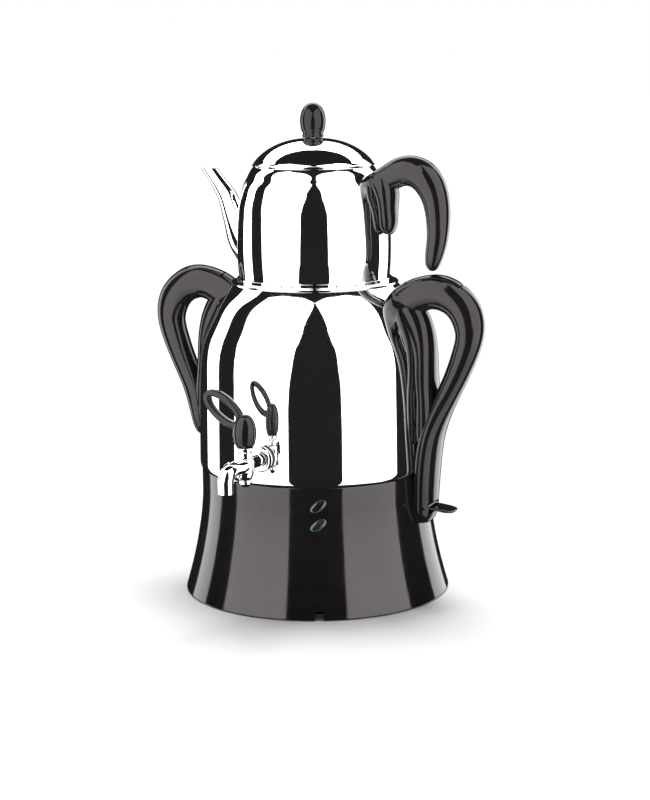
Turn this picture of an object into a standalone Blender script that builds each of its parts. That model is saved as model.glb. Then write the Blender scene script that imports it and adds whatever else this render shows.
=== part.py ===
"""Electric samovar: a kettle tank on a heated base, and a teapot that stands on its steam ring.

Units are metres, +Z is up. The origin is the middle of the underside, on the surface that it stands on.
The tap points to -Y, the teapot spout to -X and the teapot handle to +X.
"""
import math

import bmesh
import bpy
from mathutils import Matrix, Vector

# Driving dimensions of the base
BASE_HEIGHT = 0.1165
BASE_TOP_INSET = 0.0018
BASE_FLARE = 0.0172
BASE_WALL = 0.0025
BASE_LEDGE_WIDTH = 0.0125
BASE_LEDGE_THICKNESS = 0.003
RIM_LIFT = 0.0008
RIM_NOTCH_WIDTH = 0.0083
RIM_NOTCH_HEIGHT = 0.0075
FLARE_START_SHARE = 0.82
FLARE_HEIGHT_SHARES = (1.0, 0.82, 0.66, 0.50, 0.36, 0.23, 0.11, 0.0)
FLARE_POWER = 1.65

# Driving dimensions of the tank
TANK_RADIUS = 0.1085
TANK_MOUTH_RADIUS = 0.0768
TANK_HEIGHT = 0.1695
TANK_WALL = 0.0008
TANK_LIP_WIDTH = 0.0035
TANK_FLOOR_LIFT = 0.0057
TANK_FLOOR_THICKNESS = 0.0010
TANK_FLOOR_RIM = 0.005

# Driving dimensions of the steam ring
RING_OVERHANG = 0.0006
RING_BEAD_HEIGHT = 0.0027
RING_SKIRT_DEPTH = 0.010
RING_WALL = 0.0009
RISER_RADIUS = 0.0712
RISER_HEIGHT = 0.0032
RING_BORE_RADIUS = 0.058
VENT_RADIUS = 0.0009
VENT_COUNT = 45
VENT_SIDES = 4

# Driving dimensions of the teapot
POT_RADIUS = 0.0705
POT_HEIGHT = 0.1010
POT_NECK_RADIUS = 0.0545
POT_MOUTH_RADIUS = 0.0500
POT_WALL = 0.0008
POT_FOOT_WIDTH = 0.0025
POT_FLOOR_LIFT = 0.003

# Driving dimensions of the lid
LID_OVERHANG = 0.0017
LID_RISE = 0.0245
LID_WALL = 0.0008
LID_RIM_THICKNESS = 0.0012
LID_SKIRT_DEPTH = 0.007
KNOB_HEIGHT = 0.0313
KNOB_RADIUS = 0.0117
LID_SCREW_RADIUS = 0.002
LID_SCREW_LENGTH = 0.014

# Driving dimensions of the spout and the teapot handle
SPOUT_STAND = 0.0011
SPOUT_REACH = 0.0418
SPOUT_MOUTH_HEIGHT = 0.0969
SPOUT_HALF_THICKNESS = 0.0093
SPOUT_WALL = 0.0009
HOOK_STAND = 0.0010
HOOK_REACH = 0.0621
HOOK_HALF_THICKNESS = 0.0125
HOOK_HALF_WIDTH = 0.0115

# Driving dimensions of the two carrying handles
HANDLE_STAND = 0.0012
HANDLE_REACH = 0.0572
GRIP_HALF_THICKNESS = 0.0125
GRIP_HALF_WIDTH = 0.0125
CAP_DEPTH = 0.0032
CAP_HALF_WIDTH = 0.0078
HANDLE_SCREW_RADIUS = 0.002
HANDLE_SCREW_BITE = 0.008
SCREW_HEAD_RADIUS = 0.004
SCREW_HEAD_HEIGHT = 0.0022

# Driving dimensions of the tap
TAP_RISE = 0.0255
TAP_STEM_REACH = 0.0317
TAP_SPOUT_REACH = 0.0354
TAP_TUBE_RADIUS = 0.0070
TAP_MOUTH_DROP = 0.0177
TAP_BORE_RADIUS = 0.0050
TAP_BORE_DEPTH = 0.012
TAP_SHANK_RADIUS = 0.0065
TAP_SHANK_TAIL = 0.0085
TAP_FLANGE_RADIUS = 0.0120
TAP_FLANGE_THICKNESS = 0.0032
TAP_GASKET_RADIUS = 0.0105
TAP_GASKET_THICKNESS = 0.0016
TAP_NUT_RADIUS = 0.0105
TAP_NUT_THICKNESS = 0.005
TAP_BARREL_RADIUS = 0.0082
TAP_BARREL_TOP = 0.0070
TAP_BARREL_BOTTOM = 0.0130
TAP_END_CAP_RADIUS = 0.0056
TAP_END_CAP_DROP = 0.0060
TAP_BONNET_RADIUS = 0.0074
TAP_BONNET_HEIGHT = 0.0085
TAP_STEM_RADIUS = 0.0025
TAP_EGG_RADIUS = 0.0103
TAP_EGG_HEIGHT = 0.0291
TAP_LOOP_LENGTH = 0.0450
TAP_LOOP_WIDTH = 0.0235
TAP_LOOP_BAR = 0.0066
TAP_LOOP_DEPTH = 0.0082
TAP_LOOP_TILT = math.radians(38)

# Driving dimensions of the switch
SWITCH_DROP = 0.0296
SWITCH_PIVOT_REACH = 0.0073
SWITCH_TIP_REACH = 0.0322
SWITCH_HALF_WIDTH = 0.0115
SWITCH_THICKNESS = 0.0036
SWITCH_HUB_RADIUS = 0.0032
SWITCH_PIN_RADIUS = 0.0013
SWITCH_PIN_HALF_LENGTH = 0.0150
SWITCH_TAIL_REACH = 0.0100
SWITCH_TAIL_HALF_WIDTH = 0.0025
SWITCH_SLOT_HALF_HEIGHT = 0.0052
SWITCH_DROOP = math.radians(7)
SWITCH_BOX_DEPTH = 0.012
SWITCH_BOX_HALF_WIDTH = 0.010
SWITCH_BOX_HALF_HEIGHT = 0.008

# Driving dimensions of the lamp windows
LAMP_AZIMUTH = math.radians(26.8)
LAMP_UPPER_DROP = 0.0165
LAMP_LOWER_DROP = 0.0335
LAMP_HALF_LENGTH = 0.0080
LAMP_HALF_WIDTH = 0.0042
LAMP_TILT = math.radians(35)
LAMP_PROUD = 0.0006
LAMP_DEPTH = 0.0060
LAMP_BOARD_THICKNESS = 0.0016
LAMP_BOARD_HALF_WIDTH = 0.010

# Driving dimensions of what closes and carries the base
COVER_THICKNESS = 0.0025
COVER_LIFT = 0.003
CENTRE_FOOT_RADIUS = 0.016
FOOT_RADIUS = 0.0085
FOOT_INSET = 0.0259
BOSS_RADIUS = 0.0048
BOSS_HEIGHT = 0.014
BOTTOM_SCREW_RADIUS = 0.0016
BOTTOM_SCREW_LENGTH = 0.012
BOTTOM_SCREW_HEAD_RADIUS = 0.0033
BOTTOM_SCREW_HEAD_HEIGHT = 0.0018
GLAND_HEIGHT = 0.022
GLAND_RADIUS = 0.0085
GLAND_NECK_RADIUS = 0.0060
GLAND_PROUD = 0.004
GLAND_RECESS_RADIUS = 0.0036
GLAND_RECESS_DEPTH = 0.0015

# Driving dimensions of the heater
ELEMENT_RING_RADIUS = 0.062
ELEMENT_TUBE_RADIUS = 0.004
ELEMENT_LEG_LENGTH = 0.016
THERMOSTAT_RADIUS = 0.0105
THERMOSTAT_HEIGHT = 0.008
THERMOSTAT_SPACING = 0.028

# Clearances and mesh fineness
FIT_GAP = 0.0003
RUN_GAP = 0.0005
OVERRUN = 0.002
MERGE_DISTANCE = 0.00001
ROUND_STEPS = 32
SMALL_STEPS = 16
SECTION_SIDES = 12
SMOOTH_ANGLE = math.radians(35)
FACET_SHARE = math.cos(math.pi / ROUND_STEPS)
FRAME_SIZE = 0.02

# Sizes and heights that follow from the driving dimensions
BASE_TOP_RADIUS = TANK_RADIUS - BASE_TOP_INSET
BASE_FOOT_RADIUS = BASE_TOP_RADIUS + BASE_FLARE
FOOT_CIRCLE_RADIUS = BASE_FOOT_RADIUS - FOOT_INSET
RING_RADIUS = TANK_MOUTH_RADIUS + RING_OVERHANG
LID_RADIUS = POT_NECK_RADIUS + LID_OVERHANG
LAMP_UPPER_HEIGHT = BASE_HEIGHT - LAMP_UPPER_DROP
LAMP_LOWER_HEIGHT = BASE_HEIGHT - LAMP_LOWER_DROP
SWITCH_HEIGHT = BASE_HEIGHT - SWITCH_DROP
TANK_BOTTOM = BASE_HEIGHT + FIT_GAP
TANK_TOP = TANK_BOTTOM + TANK_HEIGHT
TAP_HEIGHT = TANK_BOTTOM + TAP_RISE
RING_BOTTOM = TANK_TOP + FIT_GAP
RING_TOP = RING_BOTTOM + RING_BEAD_HEIGHT + RISER_HEIGHT
POT_BOTTOM = RING_TOP + FIT_GAP
LID_BOTTOM = POT_HEIGHT + FIT_GAP

for old in list(bpy.data.objects):
    bpy.data.objects.remove(old, do_unlink=True)

parts = bpy.data.collections.new("samovar")
cutters = bpy.data.collections.new("samovar_cutters")
bpy.context.scene.collection.children.link(parts)
bpy.context.scene.collection.children.link(cutters)


def finish(name, colour, roughness, metallic):
    """Principled material of one finish."""
    made = bpy.data.materials.new(name)
    made.use_nodes = True
    shader = made.node_tree.nodes["Principled BSDF"]
    shader.inputs["Base Color"].default_value = (*colour, 1.0)
    shader.inputs["Roughness"].default_value = roughness
    shader.inputs["Metallic"].default_value = metallic
    return made


def own_finish(kind, name):
    """Own copy of a finish for one piece."""
    copy = FINISHES[kind].copy()
    copy.name = name + "_" + kind
    return copy


FINISHES = {
    "steel": finish("steel", (0.80, 0.80, 0.81), 0.06, 1.0),
    "chrome": finish("chrome", (0.86, 0.86, 0.87), 0.05, 1.0),
    "black": finish("black", (0.012, 0.011, 0.011), 0.16, 0.0),
    "zinc": finish("zinc", (0.55, 0.55, 0.56), 0.35, 1.0),
    "rubber": finish("rubber", (0.02, 0.02, 0.02), 0.75, 0.0),
    "lens": finish("lens", (0.02, 0.10, 0.11), 0.12, 0.0),
    "board": finish("board", (0.05, 0.16, 0.08), 0.55, 0.0),
    "element": finish("element", (0.16, 0.15, 0.15), 0.45, 1.0),
}


def empty(name, location, parent=None, turn=0.0):
    """Frame that carries pieces: turn is its rotation about +Z."""
    frame = bpy.data.objects.new(name, None)
    frame.empty_display_size = FRAME_SIZE
    frame.location = location
    frame.rotation_euler = (0.0, 0.0, turn)
    frame.parent = parent
    parts.objects.link(frame)
    return frame


def place(mesh, name, kind, parent=None, location=(0.0, 0.0, 0.0), rotation=(0.0, 0.0, 0.0)):
    """Object of a mesh; kind is its finish, or None for a cutter."""
    piece = bpy.data.objects.new(name, mesh)
    piece.location = location
    piece.rotation_euler = rotation
    piece.parent = parent
    if kind is None:
        cutters.objects.link(piece)
        piece.hide_render = True
        piece.display_type = "WIRE"
    else:
        parts.objects.link(piece)
        mesh.materials.append(own_finish(kind, name))
    return piece


def smooth(mesh):
    """Smooth shading that keeps the real edges sharp."""
    mesh.shade_smooth()
    mesh.set_sharp_from_angle(angle=SMOOTH_ANGLE)


def turned(name, outline, kind, steps=ROUND_STEPS, closed=False, **seat):
    """Solid of revolution about local Z; its outline of (radius, height) runs down the outer side."""
    mesh = bpy.data.meshes.new(name)
    count = len(outline)
    edges = [(i, i + 1) for i in range(count - 1)]
    if closed:
        edges.append((count - 1, 0))
    mesh.from_pydata([(radius, 0.0, height) for radius, height in outline], edges, [])
    piece = place(mesh, name, kind, **seat)
    screw = piece.modifiers.new("turn", "SCREW")
    screw.axis = "Z"
    screw.angle = math.tau
    screw.steps = steps
    screw.render_steps = steps
    screw.use_merge_vertices = True
    screw.merge_threshold = MERGE_DISTANCE
    screw.use_smooth_shade = True
    return piece


def from_bmesh(shape, name, kind, **seat):
    """Object of a finished bmesh, with its faces turned outwards."""
    bmesh.ops.recalc_face_normals(shape, faces=shape.faces)
    mesh = bpy.data.meshes.new(name)
    shape.to_mesh(mesh)
    shape.free()
    smooth(mesh)
    return place(mesh, name, kind, **seat)


def block(name, low, high, kind=None, **seat):
    """Box between two corners."""
    size = Vector(high) - Vector(low)
    middle = (Vector(high) + Vector(low)) / 2
    shape = bmesh.new()
    bmesh.ops.create_cube(shape, size=1.0, matrix=Matrix.Translation(middle) @ Matrix.Diagonal((*size, 1.0)))
    return from_bmesh(shape, name, kind, **seat)


def rods(name, places, radius, length, kind=None, sides=12, taper=1.0, **seat):
    """Round bars, each from its place along its own direction; they stay separate solids."""
    shape = bmesh.new()
    for start, direction in places:
        along = Vector(direction).normalized()
        turn = along.to_track_quat("Z", "Y").to_matrix().to_4x4()
        centre = Vector(start) + along * length / 2
        bmesh.ops.create_cone(
            shape, cap_ends=True, segments=sides, radius1=radius, radius2=radius * taper, depth=length,
            matrix=Matrix.Translation(centre) @ turn,
        )
    return from_bmesh(shape, name, kind, **seat)


def oval_plug(name, half_length, half_width, inner, outer, kind=None, sides=SMALL_STEPS, **seat):
    """Elliptical plug along local Z, from inner to outer."""
    middle = Matrix.Translation((0.0, 0.0, (inner + outer) / 2))
    stretch = Matrix.Diagonal((half_length, half_width, outer - inner, 1.0))
    shape = bmesh.new()
    bmesh.ops.create_cone(
        shape, cap_ends=True, segments=sides, radius1=1.0, radius2=1.0, depth=1.0, matrix=middle @ stretch,
    )
    return from_bmesh(shape, name, kind, **seat)


def prism(name, outline, half_width, kind=None, **seat):
    """Plate of an outline of (x, z) points, half_width to each side of the XZ plane."""
    shape = bmesh.new()
    near = [shape.verts.new((x, -half_width, z)) for x, z in outline]
    shape.faces.new(near)
    grown = bmesh.ops.extrude_face_region(shape, geom=shape.faces[:])
    moved = [item for item in grown["geom"] if isinstance(item, bmesh.types.BMVert)]
    bmesh.ops.translate(shape, verts=moved, vec=(0.0, 2 * half_width, 0.0))
    return from_bmesh(shape, name, kind, **seat)


def between(values, share):
    """Catmull-Rom curve through the middle two of four stations."""
    before, first, second, after = (Vector(value) for value in values)
    straight = (second - before) * share
    bend = (2 * before - 5 * first + 4 * second - after) * share ** 2
    return first + (straight + bend + (3 * first - before - 3 * second + after) * share ** 3) / 2


def refined(stations, per_span):
    """Stations with per_span - 1 more between each two."""
    padded = [stations[0]] + list(stations) + [stations[-1]]
    fine = []
    for i in range(len(stations) - 1):
        for step in range(per_span):
            fine.append(between(padded[i:i + 4], step / per_span))
    fine.append(Vector(stations[-1]))
    return fine


def swept(name, stations, kind, per_span=2, sides=SECTION_SIDES, squareness=2.3, **seat):
    """Loft of rounded sections along a path in the XZ plane.

    A station is (x, z, half thickness, half width): thickness lies in the plane, width along Y.
    """
    shape = bmesh.new()
    fine = refined(stations, per_span)
    rings = []
    for i, (x, z, thick, wide) in enumerate(fine):
        ahead = fine[min(i + 1, len(fine) - 1)]
        behind = fine[max(i - 1, 0)]
        along = Vector((ahead[0] - behind[0], 0.0, ahead[1] - behind[1])).normalized()
        across = Vector((along.z, 0.0, -along.x))
        ring = []
        for side in range(sides):
            angle = math.tau * side / sides
            out = math.copysign(abs(math.cos(angle)) ** (2 / squareness), math.cos(angle))
            aside = math.copysign(abs(math.sin(angle)) ** (2 / squareness), math.sin(angle))
            point = Vector((x, 0.0, z)) + across * thick * out + Vector((0.0, wide * aside, 0.0))
            ring.append(shape.verts.new(point))
        rings.append(ring)
    for first, second in zip(rings, rings[1:]):
        for side in range(sides):
            after = (side + 1) % sides
            shape.faces.new((first[side], first[after], second[after], second[side]))
    shape.faces.new(rings[0])
    shape.faces.new(rings[-1][::-1])
    return from_bmesh(shape, name, kind, **seat)


def combine(piece, other, operation):
    """Boolean of a piece with another object."""
    step = piece.modifiers.new(other.name, "BOOLEAN")
    step.operation = operation
    step.object = other
    return piece


def cut(piece, *tools):
    """Takes each tool's shape out of the piece."""
    for tool in tools:
        combine(piece, tool, "DIFFERENCE")
    return piece


def join(piece, *additions):
    """Adds each shape to the piece as one body."""
    for addition in additions:
        combine(piece, addition, "UNION")
    return piece


def screw(name, start, direction, head, shank, parent):
    """Screw from the outer face of its head; head and shank are each (radius, length)."""
    made = rods(name, [(start, direction)], head[0], head[1], "zinc", sides=10, parent=parent)
    inside = Vector(start) + Vector(direction) * head[1] / 2
    length = shank[1] + head[1] / 2
    return join(made, rods(name + "_shank", [(inside, direction)], shank[0], length, sides=6, parent=parent))


# Frames that carry the pieces
stand = empty("stand", (0.0, 0.0, 0.0))
ring_seat = empty("steam_ring_seat", (0.0, 0.0, RING_BOTTOM), stand)
pot_seat = empty("teapot_seat", (0.0, 0.0, POT_BOTTOM - RING_BOTTOM), ring_seat)
lid_seat = empty("lid_seat", (0.0, 0.0, LID_BOTTOM), pot_seat)
tap_mount = empty("tap_mount", (0.0, 0.0, TAP_HEIGHT), stand, turn=-math.pi / 2)


# Outlines that several pieces share
def base_radius(height):
    """Outer radius of the base at a height: upright above, flared below."""
    flare_start = BASE_HEIGHT * FLARE_START_SHARE
    depth_share = max(0.0, 1.0 - (height - RIM_LIFT) / (flare_start - RIM_LIFT))
    return BASE_TOP_RADIUS + (BASE_FOOT_RADIUS - BASE_TOP_RADIUS) * min(depth_share, 1.0) ** FLARE_POWER


def base_outline(inset=0.0):
    """Outer side of the base from top to rim, moved inwards by inset."""
    heights = [RIM_LIFT + (BASE_HEIGHT - RIM_LIFT) * share for share in FLARE_HEIGHT_SHARES]
    return [(base_radius(height) - inset, height) for height in heights]


TANK_OUTLINE_SHARES = (
    (0.0, 1.0), (0.309, 0.926), (0.599, 0.822), (0.83, 0.719), (0.93, 0.62), (0.965, 0.48),
    (1.0, 0.035), (0.984, 0.010), (0.95, 0.0),
)


def tank_outline(grow=0.0):
    """Outer side of the tank from mouth to foot, with its radius grown."""
    spread = TANK_RADIUS - TANK_MOUTH_RADIUS
    return [
        (TANK_MOUTH_RADIUS + spread * wide + grow, TANK_BOTTOM + TANK_HEIGHT * high)
        for wide, high in TANK_OUTLINE_SHARES
    ]


POT_OUTLINE_SHARES = (
    (0.0, 1.0), (0.206, 0.955), (0.381, 0.901), (0.556, 0.847), (0.72, 0.765), (0.856, 0.675),
    (0.95, 0.53), (1.0, 0.34), (0.985, 0.14), (0.925, 0.0),
)


def pot_outline(grow=0.0):
    """Outer side of the teapot from neck to foot, with its radius grown."""
    spread = POT_RADIUS - POT_NECK_RADIUS
    return [(POT_NECK_RADIUS + spread * wide + grow, POT_HEIGHT * high) for wide, high in POT_OUTLINE_SHARES]


def stand_cutter(name):
    """Room that the tank, base and steam ring take from a handle, with the fitting gap."""
    outline = [(0.0, RING_TOP + OVERRUN), (RING_RADIUS + RUN_GAP, RING_TOP + OVERRUN)]
    outline.append((RING_RADIUS + RUN_GAP, TANK_TOP - FIT_GAP))
    outline += [point for point in tank_outline(FIT_GAP) if point[0] > RING_RADIUS + RUN_GAP + FIT_GAP][:-1]
    outline += [(TANK_RADIUS + FIT_GAP, TANK_BOTTOM)]
    outline += base_outline(-FIT_GAP)[1:] + [(0.0, RIM_LIFT)]
    return turned(name, outline, None, parent=stand)


# Base housing: a flared moulded shell with a ledge for the tank and four screw bosses
BOSS_ANGLES = [math.radians(45 + 90 * i) for i in range(4)]


def on_circle(radius, angle, height):
    """Point on a circle about the axis."""
    return (radius * math.cos(angle), radius * math.sin(angle), height)


inner_top = BASE_HEIGHT - 2 * BASE_LEDGE_THICKNESS
inner_wall = [point for point in base_outline(BASE_WALL)[::-1] if point[1] < inner_top]
ledge_radius = BASE_TOP_RADIUS - BASE_LEDGE_WIDTH
ledge_bottom = BASE_HEIGHT - BASE_LEDGE_THICKNESS
base_housing = turned(
    "base_housing",
    base_outline() + inner_wall
    + [(BASE_TOP_RADIUS - BASE_WALL, ledge_bottom), (ledge_radius, ledge_bottom),
       (ledge_radius, BASE_HEIGHT)],
    "black", closed=True, parent=stand,
)
cover_top = COVER_LIFT + COVER_THICKNESS
boss_bottom = cover_top + FIT_GAP
boss_circle = base_radius(boss_bottom + BOSS_HEIGHT) - BASE_WALL / 2 - BOSS_RADIUS
bosses = rods(
    "boss_shapes", [(on_circle(boss_circle, angle, boss_bottom), (0, 0, 1)) for angle in BOSS_ANGLES],
    BOSS_RADIUS, BOSS_HEIGHT, sides=10, parent=stand,
)
join(base_housing, bosses)
screw_bottom = COVER_LIFT - FIT_GAP - BOTTOM_SCREW_HEAD_HEIGHT
pilot_holes = rods(
    "pilot_holes",
    [(on_circle(boss_circle, angle, COVER_LIFT - OVERRUN), (0, 0, 1)) for angle in BOSS_ANGLES],
    BOTTOM_SCREW_RADIUS + FIT_GAP, BOTTOM_SCREW_LENGTH + 2 * OVERRUN, sides=8, parent=stand,
)
rim_notch = block(
    "rim_notch",
    (-RIM_NOTCH_WIDTH / 2, -BASE_FOOT_RADIUS - OVERRUN, 0.0),
    (RIM_NOTCH_WIDTH / 2, -BASE_FOOT_RADIUS + 2 * BASE_WALL + OVERRUN, RIM_LIFT + RIM_NOTCH_HEIGHT),
    parent=stand, rotation=(0.0, 0.0, LAMP_AZIMUTH),
)
cut(base_housing, pilot_holes, rim_notch)

# Bottom cover with a moulded centre foot, its screws and the rubber feet
cover_radius = base_radius(COVER_LIFT + COVER_THICKNESS) - BASE_WALL - RUN_GAP
bottom_cover = turned(
    "bottom_cover",
    [(0.0, cover_top), (cover_radius, cover_top), (cover_radius, COVER_LIFT),
     (CENTRE_FOOT_RADIUS + COVER_LIFT, COVER_LIFT), (CENTRE_FOOT_RADIUS, 0.0), (0.0, 0.0)],
    "black", parent=stand,
)
cut(bottom_cover, pilot_holes)
for number, angle in enumerate(BOSS_ANGLES, 1):
    rods(
        f"rubber_foot_{number}", [(on_circle(FOOT_CIRCLE_RADIUS, angle, COVER_LIFT - FIT_GAP), (0, 0, -1))],
        FOOT_RADIUS, COVER_LIFT - FIT_GAP, "rubber", sides=16, taper=0.92, parent=stand,
    )
    screw(
        f"bottom_screw_{number}", on_circle(boss_circle, angle, screw_bottom), (0, 0, 1),
        (BOTTOM_SCREW_HEAD_RADIUS, BOTTOM_SCREW_HEAD_HEIGHT),
        (BOTTOM_SCREW_RADIUS, BOTTOM_SCREW_LENGTH), stand,
    )

# Gland for the mains lead in the rear wall
gland_radius = base_radius(GLAND_HEIGHT)
gland_hole = rods(
    "gland_hole", [((0.0, gland_radius - 2 * BASE_WALL - OVERRUN, GLAND_HEIGHT), (0, 1, 0))],
    GLAND_NECK_RADIUS + FIT_GAP, 4 * BASE_WALL + 2 * OVERRUN, sides=12, parent=stand,
)
cut(base_housing, gland_hole)
cord_gland = rods(
    "cord_gland", [((0.0, gland_radius - 2 * BASE_WALL, GLAND_HEIGHT), (0, 1, 0))],
    GLAND_RADIUS, GLAND_PROUD + 2 * BASE_WALL, "rubber", sides=16, taper=0.85, parent=stand,
)
gland_trim = turned(
    "gland_trim", [(0.0, BASE_HEIGHT)] + base_outline(-FIT_GAP) + [(0.0, 0.0)], None, parent=stand,
)
gland_neck = rods(
    "gland_neck", [((0.0, gland_radius - 2 * BASE_WALL, GLAND_HEIGHT), (0, 1, 0))],
    GLAND_NECK_RADIUS, 2 * BASE_WALL + GLAND_PROUD / 2, sides=12, parent=stand,
)
gland_recess = rods(
    "gland_recess", [((0.0, gland_radius + GLAND_PROUD - GLAND_RECESS_DEPTH, GLAND_HEIGHT), (0, 1, 0))],
    GLAND_RECESS_RADIUS, GLAND_RECESS_DEPTH + OVERRUN, parent=stand,
)
cut(cord_gland, gland_trim)
join(cord_gland, gland_neck)
cut(cord_gland, gland_recess)

# Lamp windows in the front wall, and the lamp board behind them
lamp_radius = base_radius(LAMP_LOWER_HEIGHT)
lamp_frames = {
    "upper": empty("lamp_upper_axis", (0.0, 0.0, LAMP_UPPER_HEIGHT), stand, turn=LAMP_AZIMUTH),
    "lower": empty("lamp_lower_axis", (0.0, 0.0, LAMP_LOWER_HEIGHT), stand, turn=LAMP_AZIMUTH),
}
for place_name, frame in lamp_frames.items():
    height = frame.location.z
    facing = {"parent": frame, "rotation": (math.pi / 2, 0.0, 0.0)}
    window = oval_plug(
        "lamp_window_" + place_name, LAMP_HALF_LENGTH, LAMP_HALF_WIDTH, lamp_radius - LAMP_DEPTH,
        base_radius(height) + LAMP_PROUD, "lens", **facing,
    )
    hole = oval_plug(
        "lamp_hole_" + place_name, LAMP_HALF_LENGTH + FIT_GAP, LAMP_HALF_WIDTH + FIT_GAP,
        lamp_radius - LAMP_DEPTH - OVERRUN, lamp_radius + LAMP_DEPTH, **facing,
    )
    for plug in (window, hole):
        plug.data.transform(Matrix.Rotation(LAMP_TILT, 4, "Z"))
    cut(base_housing, hole)
board_front = lamp_radius - LAMP_DEPTH - FIT_GAP
block(
    "lamp_board",
    (-LAMP_BOARD_HALF_WIDTH, -board_front, LAMP_LOWER_HEIGHT - LAMP_HALF_LENGTH),
    (LAMP_BOARD_HALF_WIDTH, -board_front + LAMP_BOARD_THICKNESS, LAMP_UPPER_HEIGHT + LAMP_HALF_LENGTH),
    "board", parent=stand, rotation=(0.0, 0.0, LAMP_AZIMUTH),
)

# Tank: a spun steel shell with a shouldered top, and a pan that closes it over the heater
TANK_INSIDE_POINTS = (7, 6, 5, 4, 3, 1)
tank_inside = [tank_outline(-TANK_WALL)[i] for i in TANK_INSIDE_POINTS]
lip_radius = TANK_MOUTH_RADIUS - TANK_LIP_WIDTH
tank_foot_inside = tank_outline(-TANK_WALL)[-1]
tank_lip = [
    (TANK_MOUTH_RADIUS - TANK_WALL, TANK_TOP - TANK_WALL), (lip_radius, TANK_TOP - TANK_WALL),
    (lip_radius, TANK_TOP),
]
tank_shell = turned(
    "tank_shell", tank_outline() + [tank_foot_inside] + tank_inside + tank_lip, "steel",
    closed=True, parent=stand,
)
floor_bottom = TANK_BOTTOM + TANK_FLOOR_LIFT
floor_radius = TANK_RADIUS - TANK_WALL - FIT_GAP
turned(
    "tank_floor",
    [(0.0, floor_bottom + TANK_FLOOR_THICKNESS),
     (floor_radius - TANK_FLOOR_THICKNESS, floor_bottom + TANK_FLOOR_THICKNESS),
     (floor_radius - TANK_FLOOR_THICKNESS, floor_bottom + TANK_FLOOR_RIM),
     (floor_radius, floor_bottom + TANK_FLOOR_RIM), (floor_radius, floor_bottom), (0.0, floor_bottom)],
    "steel", parent=stand,
)

# Tubular heating element brazed under the floor, with two legs for its terminals
ELEMENT_POINTS = 20
ELEMENT_ARC = math.radians(325)
element_height = floor_bottom - FIT_GAP - ELEMENT_TUBE_RADIUS
leg_height = element_height - ELEMENT_LEG_LENGTH
element_path = [on_circle(ELEMENT_RING_RADIUS, 0.0, leg_height)]
for i in range(ELEMENT_POINTS):
    angle = ELEMENT_ARC * i / (ELEMENT_POINTS - 1)
    element_path.append(on_circle(ELEMENT_RING_RADIUS, angle, element_height))
element_path.append(on_circle(ELEMENT_RING_RADIUS, ELEMENT_ARC, leg_height))
curve = bpy.data.curves.new("heating_element", "CURVE")
curve.dimensions = "3D"
curve.bevel_depth = ELEMENT_TUBE_RADIUS
curve.bevel_resolution = 2
curve.use_fill_caps = True
spline = curve.splines.new("POLY")
spline.points.add(len(element_path) - 1)
for point, position in zip(spline.points, element_path):
    point.co = (*position, 1.0)
curve.materials.append(own_finish("element", "heating_element"))
heating_element = bpy.data.objects.new("heating_element", curve)
heating_element.parent = stand
parts.objects.link(heating_element)

# Two thermostats clamped to the floor
for number, side in enumerate((-1, 1), 1):
    rods(
        f"thermostat_{number}", [((side * THERMOSTAT_SPACING / 2, 0.0, floor_bottom - FIT_GAP), (0, 0, -1))],
        THERMOSTAT_RADIUS, THERMOSTAT_HEIGHT, "zinc", sides=16, taper=0.9, parent=stand,
    )


# Carrying handles: an ear that leaves the tank shoulder, arches over and runs back down the wall
ARCH_SHARES = (
    (-0.432, 0.904, 1.12, 0.96), (-0.184, 0.945, 1.28, 1.00), (0.064, 0.976, 1.24, 1.00),
    (0.303, 0.976, 1.28, 1.00), (0.506, 0.945, 1.24, 1.00), (0.665, 0.892, 1.22, 1.00),
    (0.750, 0.821, 1.14, 1.00), (0.762, 0.753, 1.02, 1.00), (0.705, 0.674, 0.95, 1.00),
    (0.535, 0.528, 0.84, 1.00), (0.340, 0.390, 0.80, 1.16), (0.129, 0.202, 0.80, 1.58),
)
SADDLE_SHARES = (
    (0.07, 0.284, 0.80, 1.44), (0.062, 0.431, 0.74, 1.44), (0.037, 0.520, 0.78, 1.36),
    (0.028, 0.609, 0.79, 1.28), (-0.005, 0.697, 0.89, 1.18), (-0.085, 0.773, 1.08, 1.08),
    (-0.200, 0.838, 1.20, 1.00), (-0.320, 0.892, 1.12, 0.94),
)
LEFT_END_SHARES = ((0.100, 0.155, 0.74, 1.36), (0.070, 0.128, 0.56, 0.96), (0.050, 0.112, 0.25, 0.42))
RIGHT_WALL_SHARES = ((0.081, 0.119, 0.82, 1.62), (0.051, 0.019, 0.82, 1.62))
RIGHT_END_SHARES = (
    (0.021, 0.790, 0.82, 1.50), (0.005, 0.687, 0.80, 1.34), (-0.003, 0.630, 0.60, 1.00),
    (-0.005, 0.604, 0.12, 0.24),
)


def on_tank(shares):
    """Handle stations whose heights are shares of the tank's height."""
    return [
        (TANK_RADIUS + HANDLE_STAND + HANDLE_REACH * out, TANK_BOTTOM + TANK_HEIGHT * up,
         GRIP_HALF_THICKNESS * thick, GRIP_HALF_WIDTH * wide)
        for out, up, thick, wide in shares
    ]


def on_base(shares):
    """Handle stations whose heights are shares of the base's height."""
    return [
        (TANK_RADIUS + HANDLE_STAND + HANDLE_REACH * out, BASE_HEIGHT * up,
         GRIP_HALF_THICKNESS * thick, GRIP_HALF_WIDTH * wide)
        for out, up, thick, wide in shares
    ]


CAP_FIRST = 1
CAP_LAST = 4


def crest(stations, depth):
    """Line along the top of the arch, depth below its surface, for the cap strip."""
    fine = refined(stations, 2)
    line = []
    for i in range(2 * CAP_FIRST, 2 * CAP_LAST + 2):
        x, z, thick, _ = fine[i]
        along = Vector((fine[i + 1][0] - fine[i - 1][0], fine[i + 1][1] - fine[i - 1][1])).normalized()
        line.append((x - along.y * (thick - depth), z + along.x * (thick - depth)))
    return line


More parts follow.
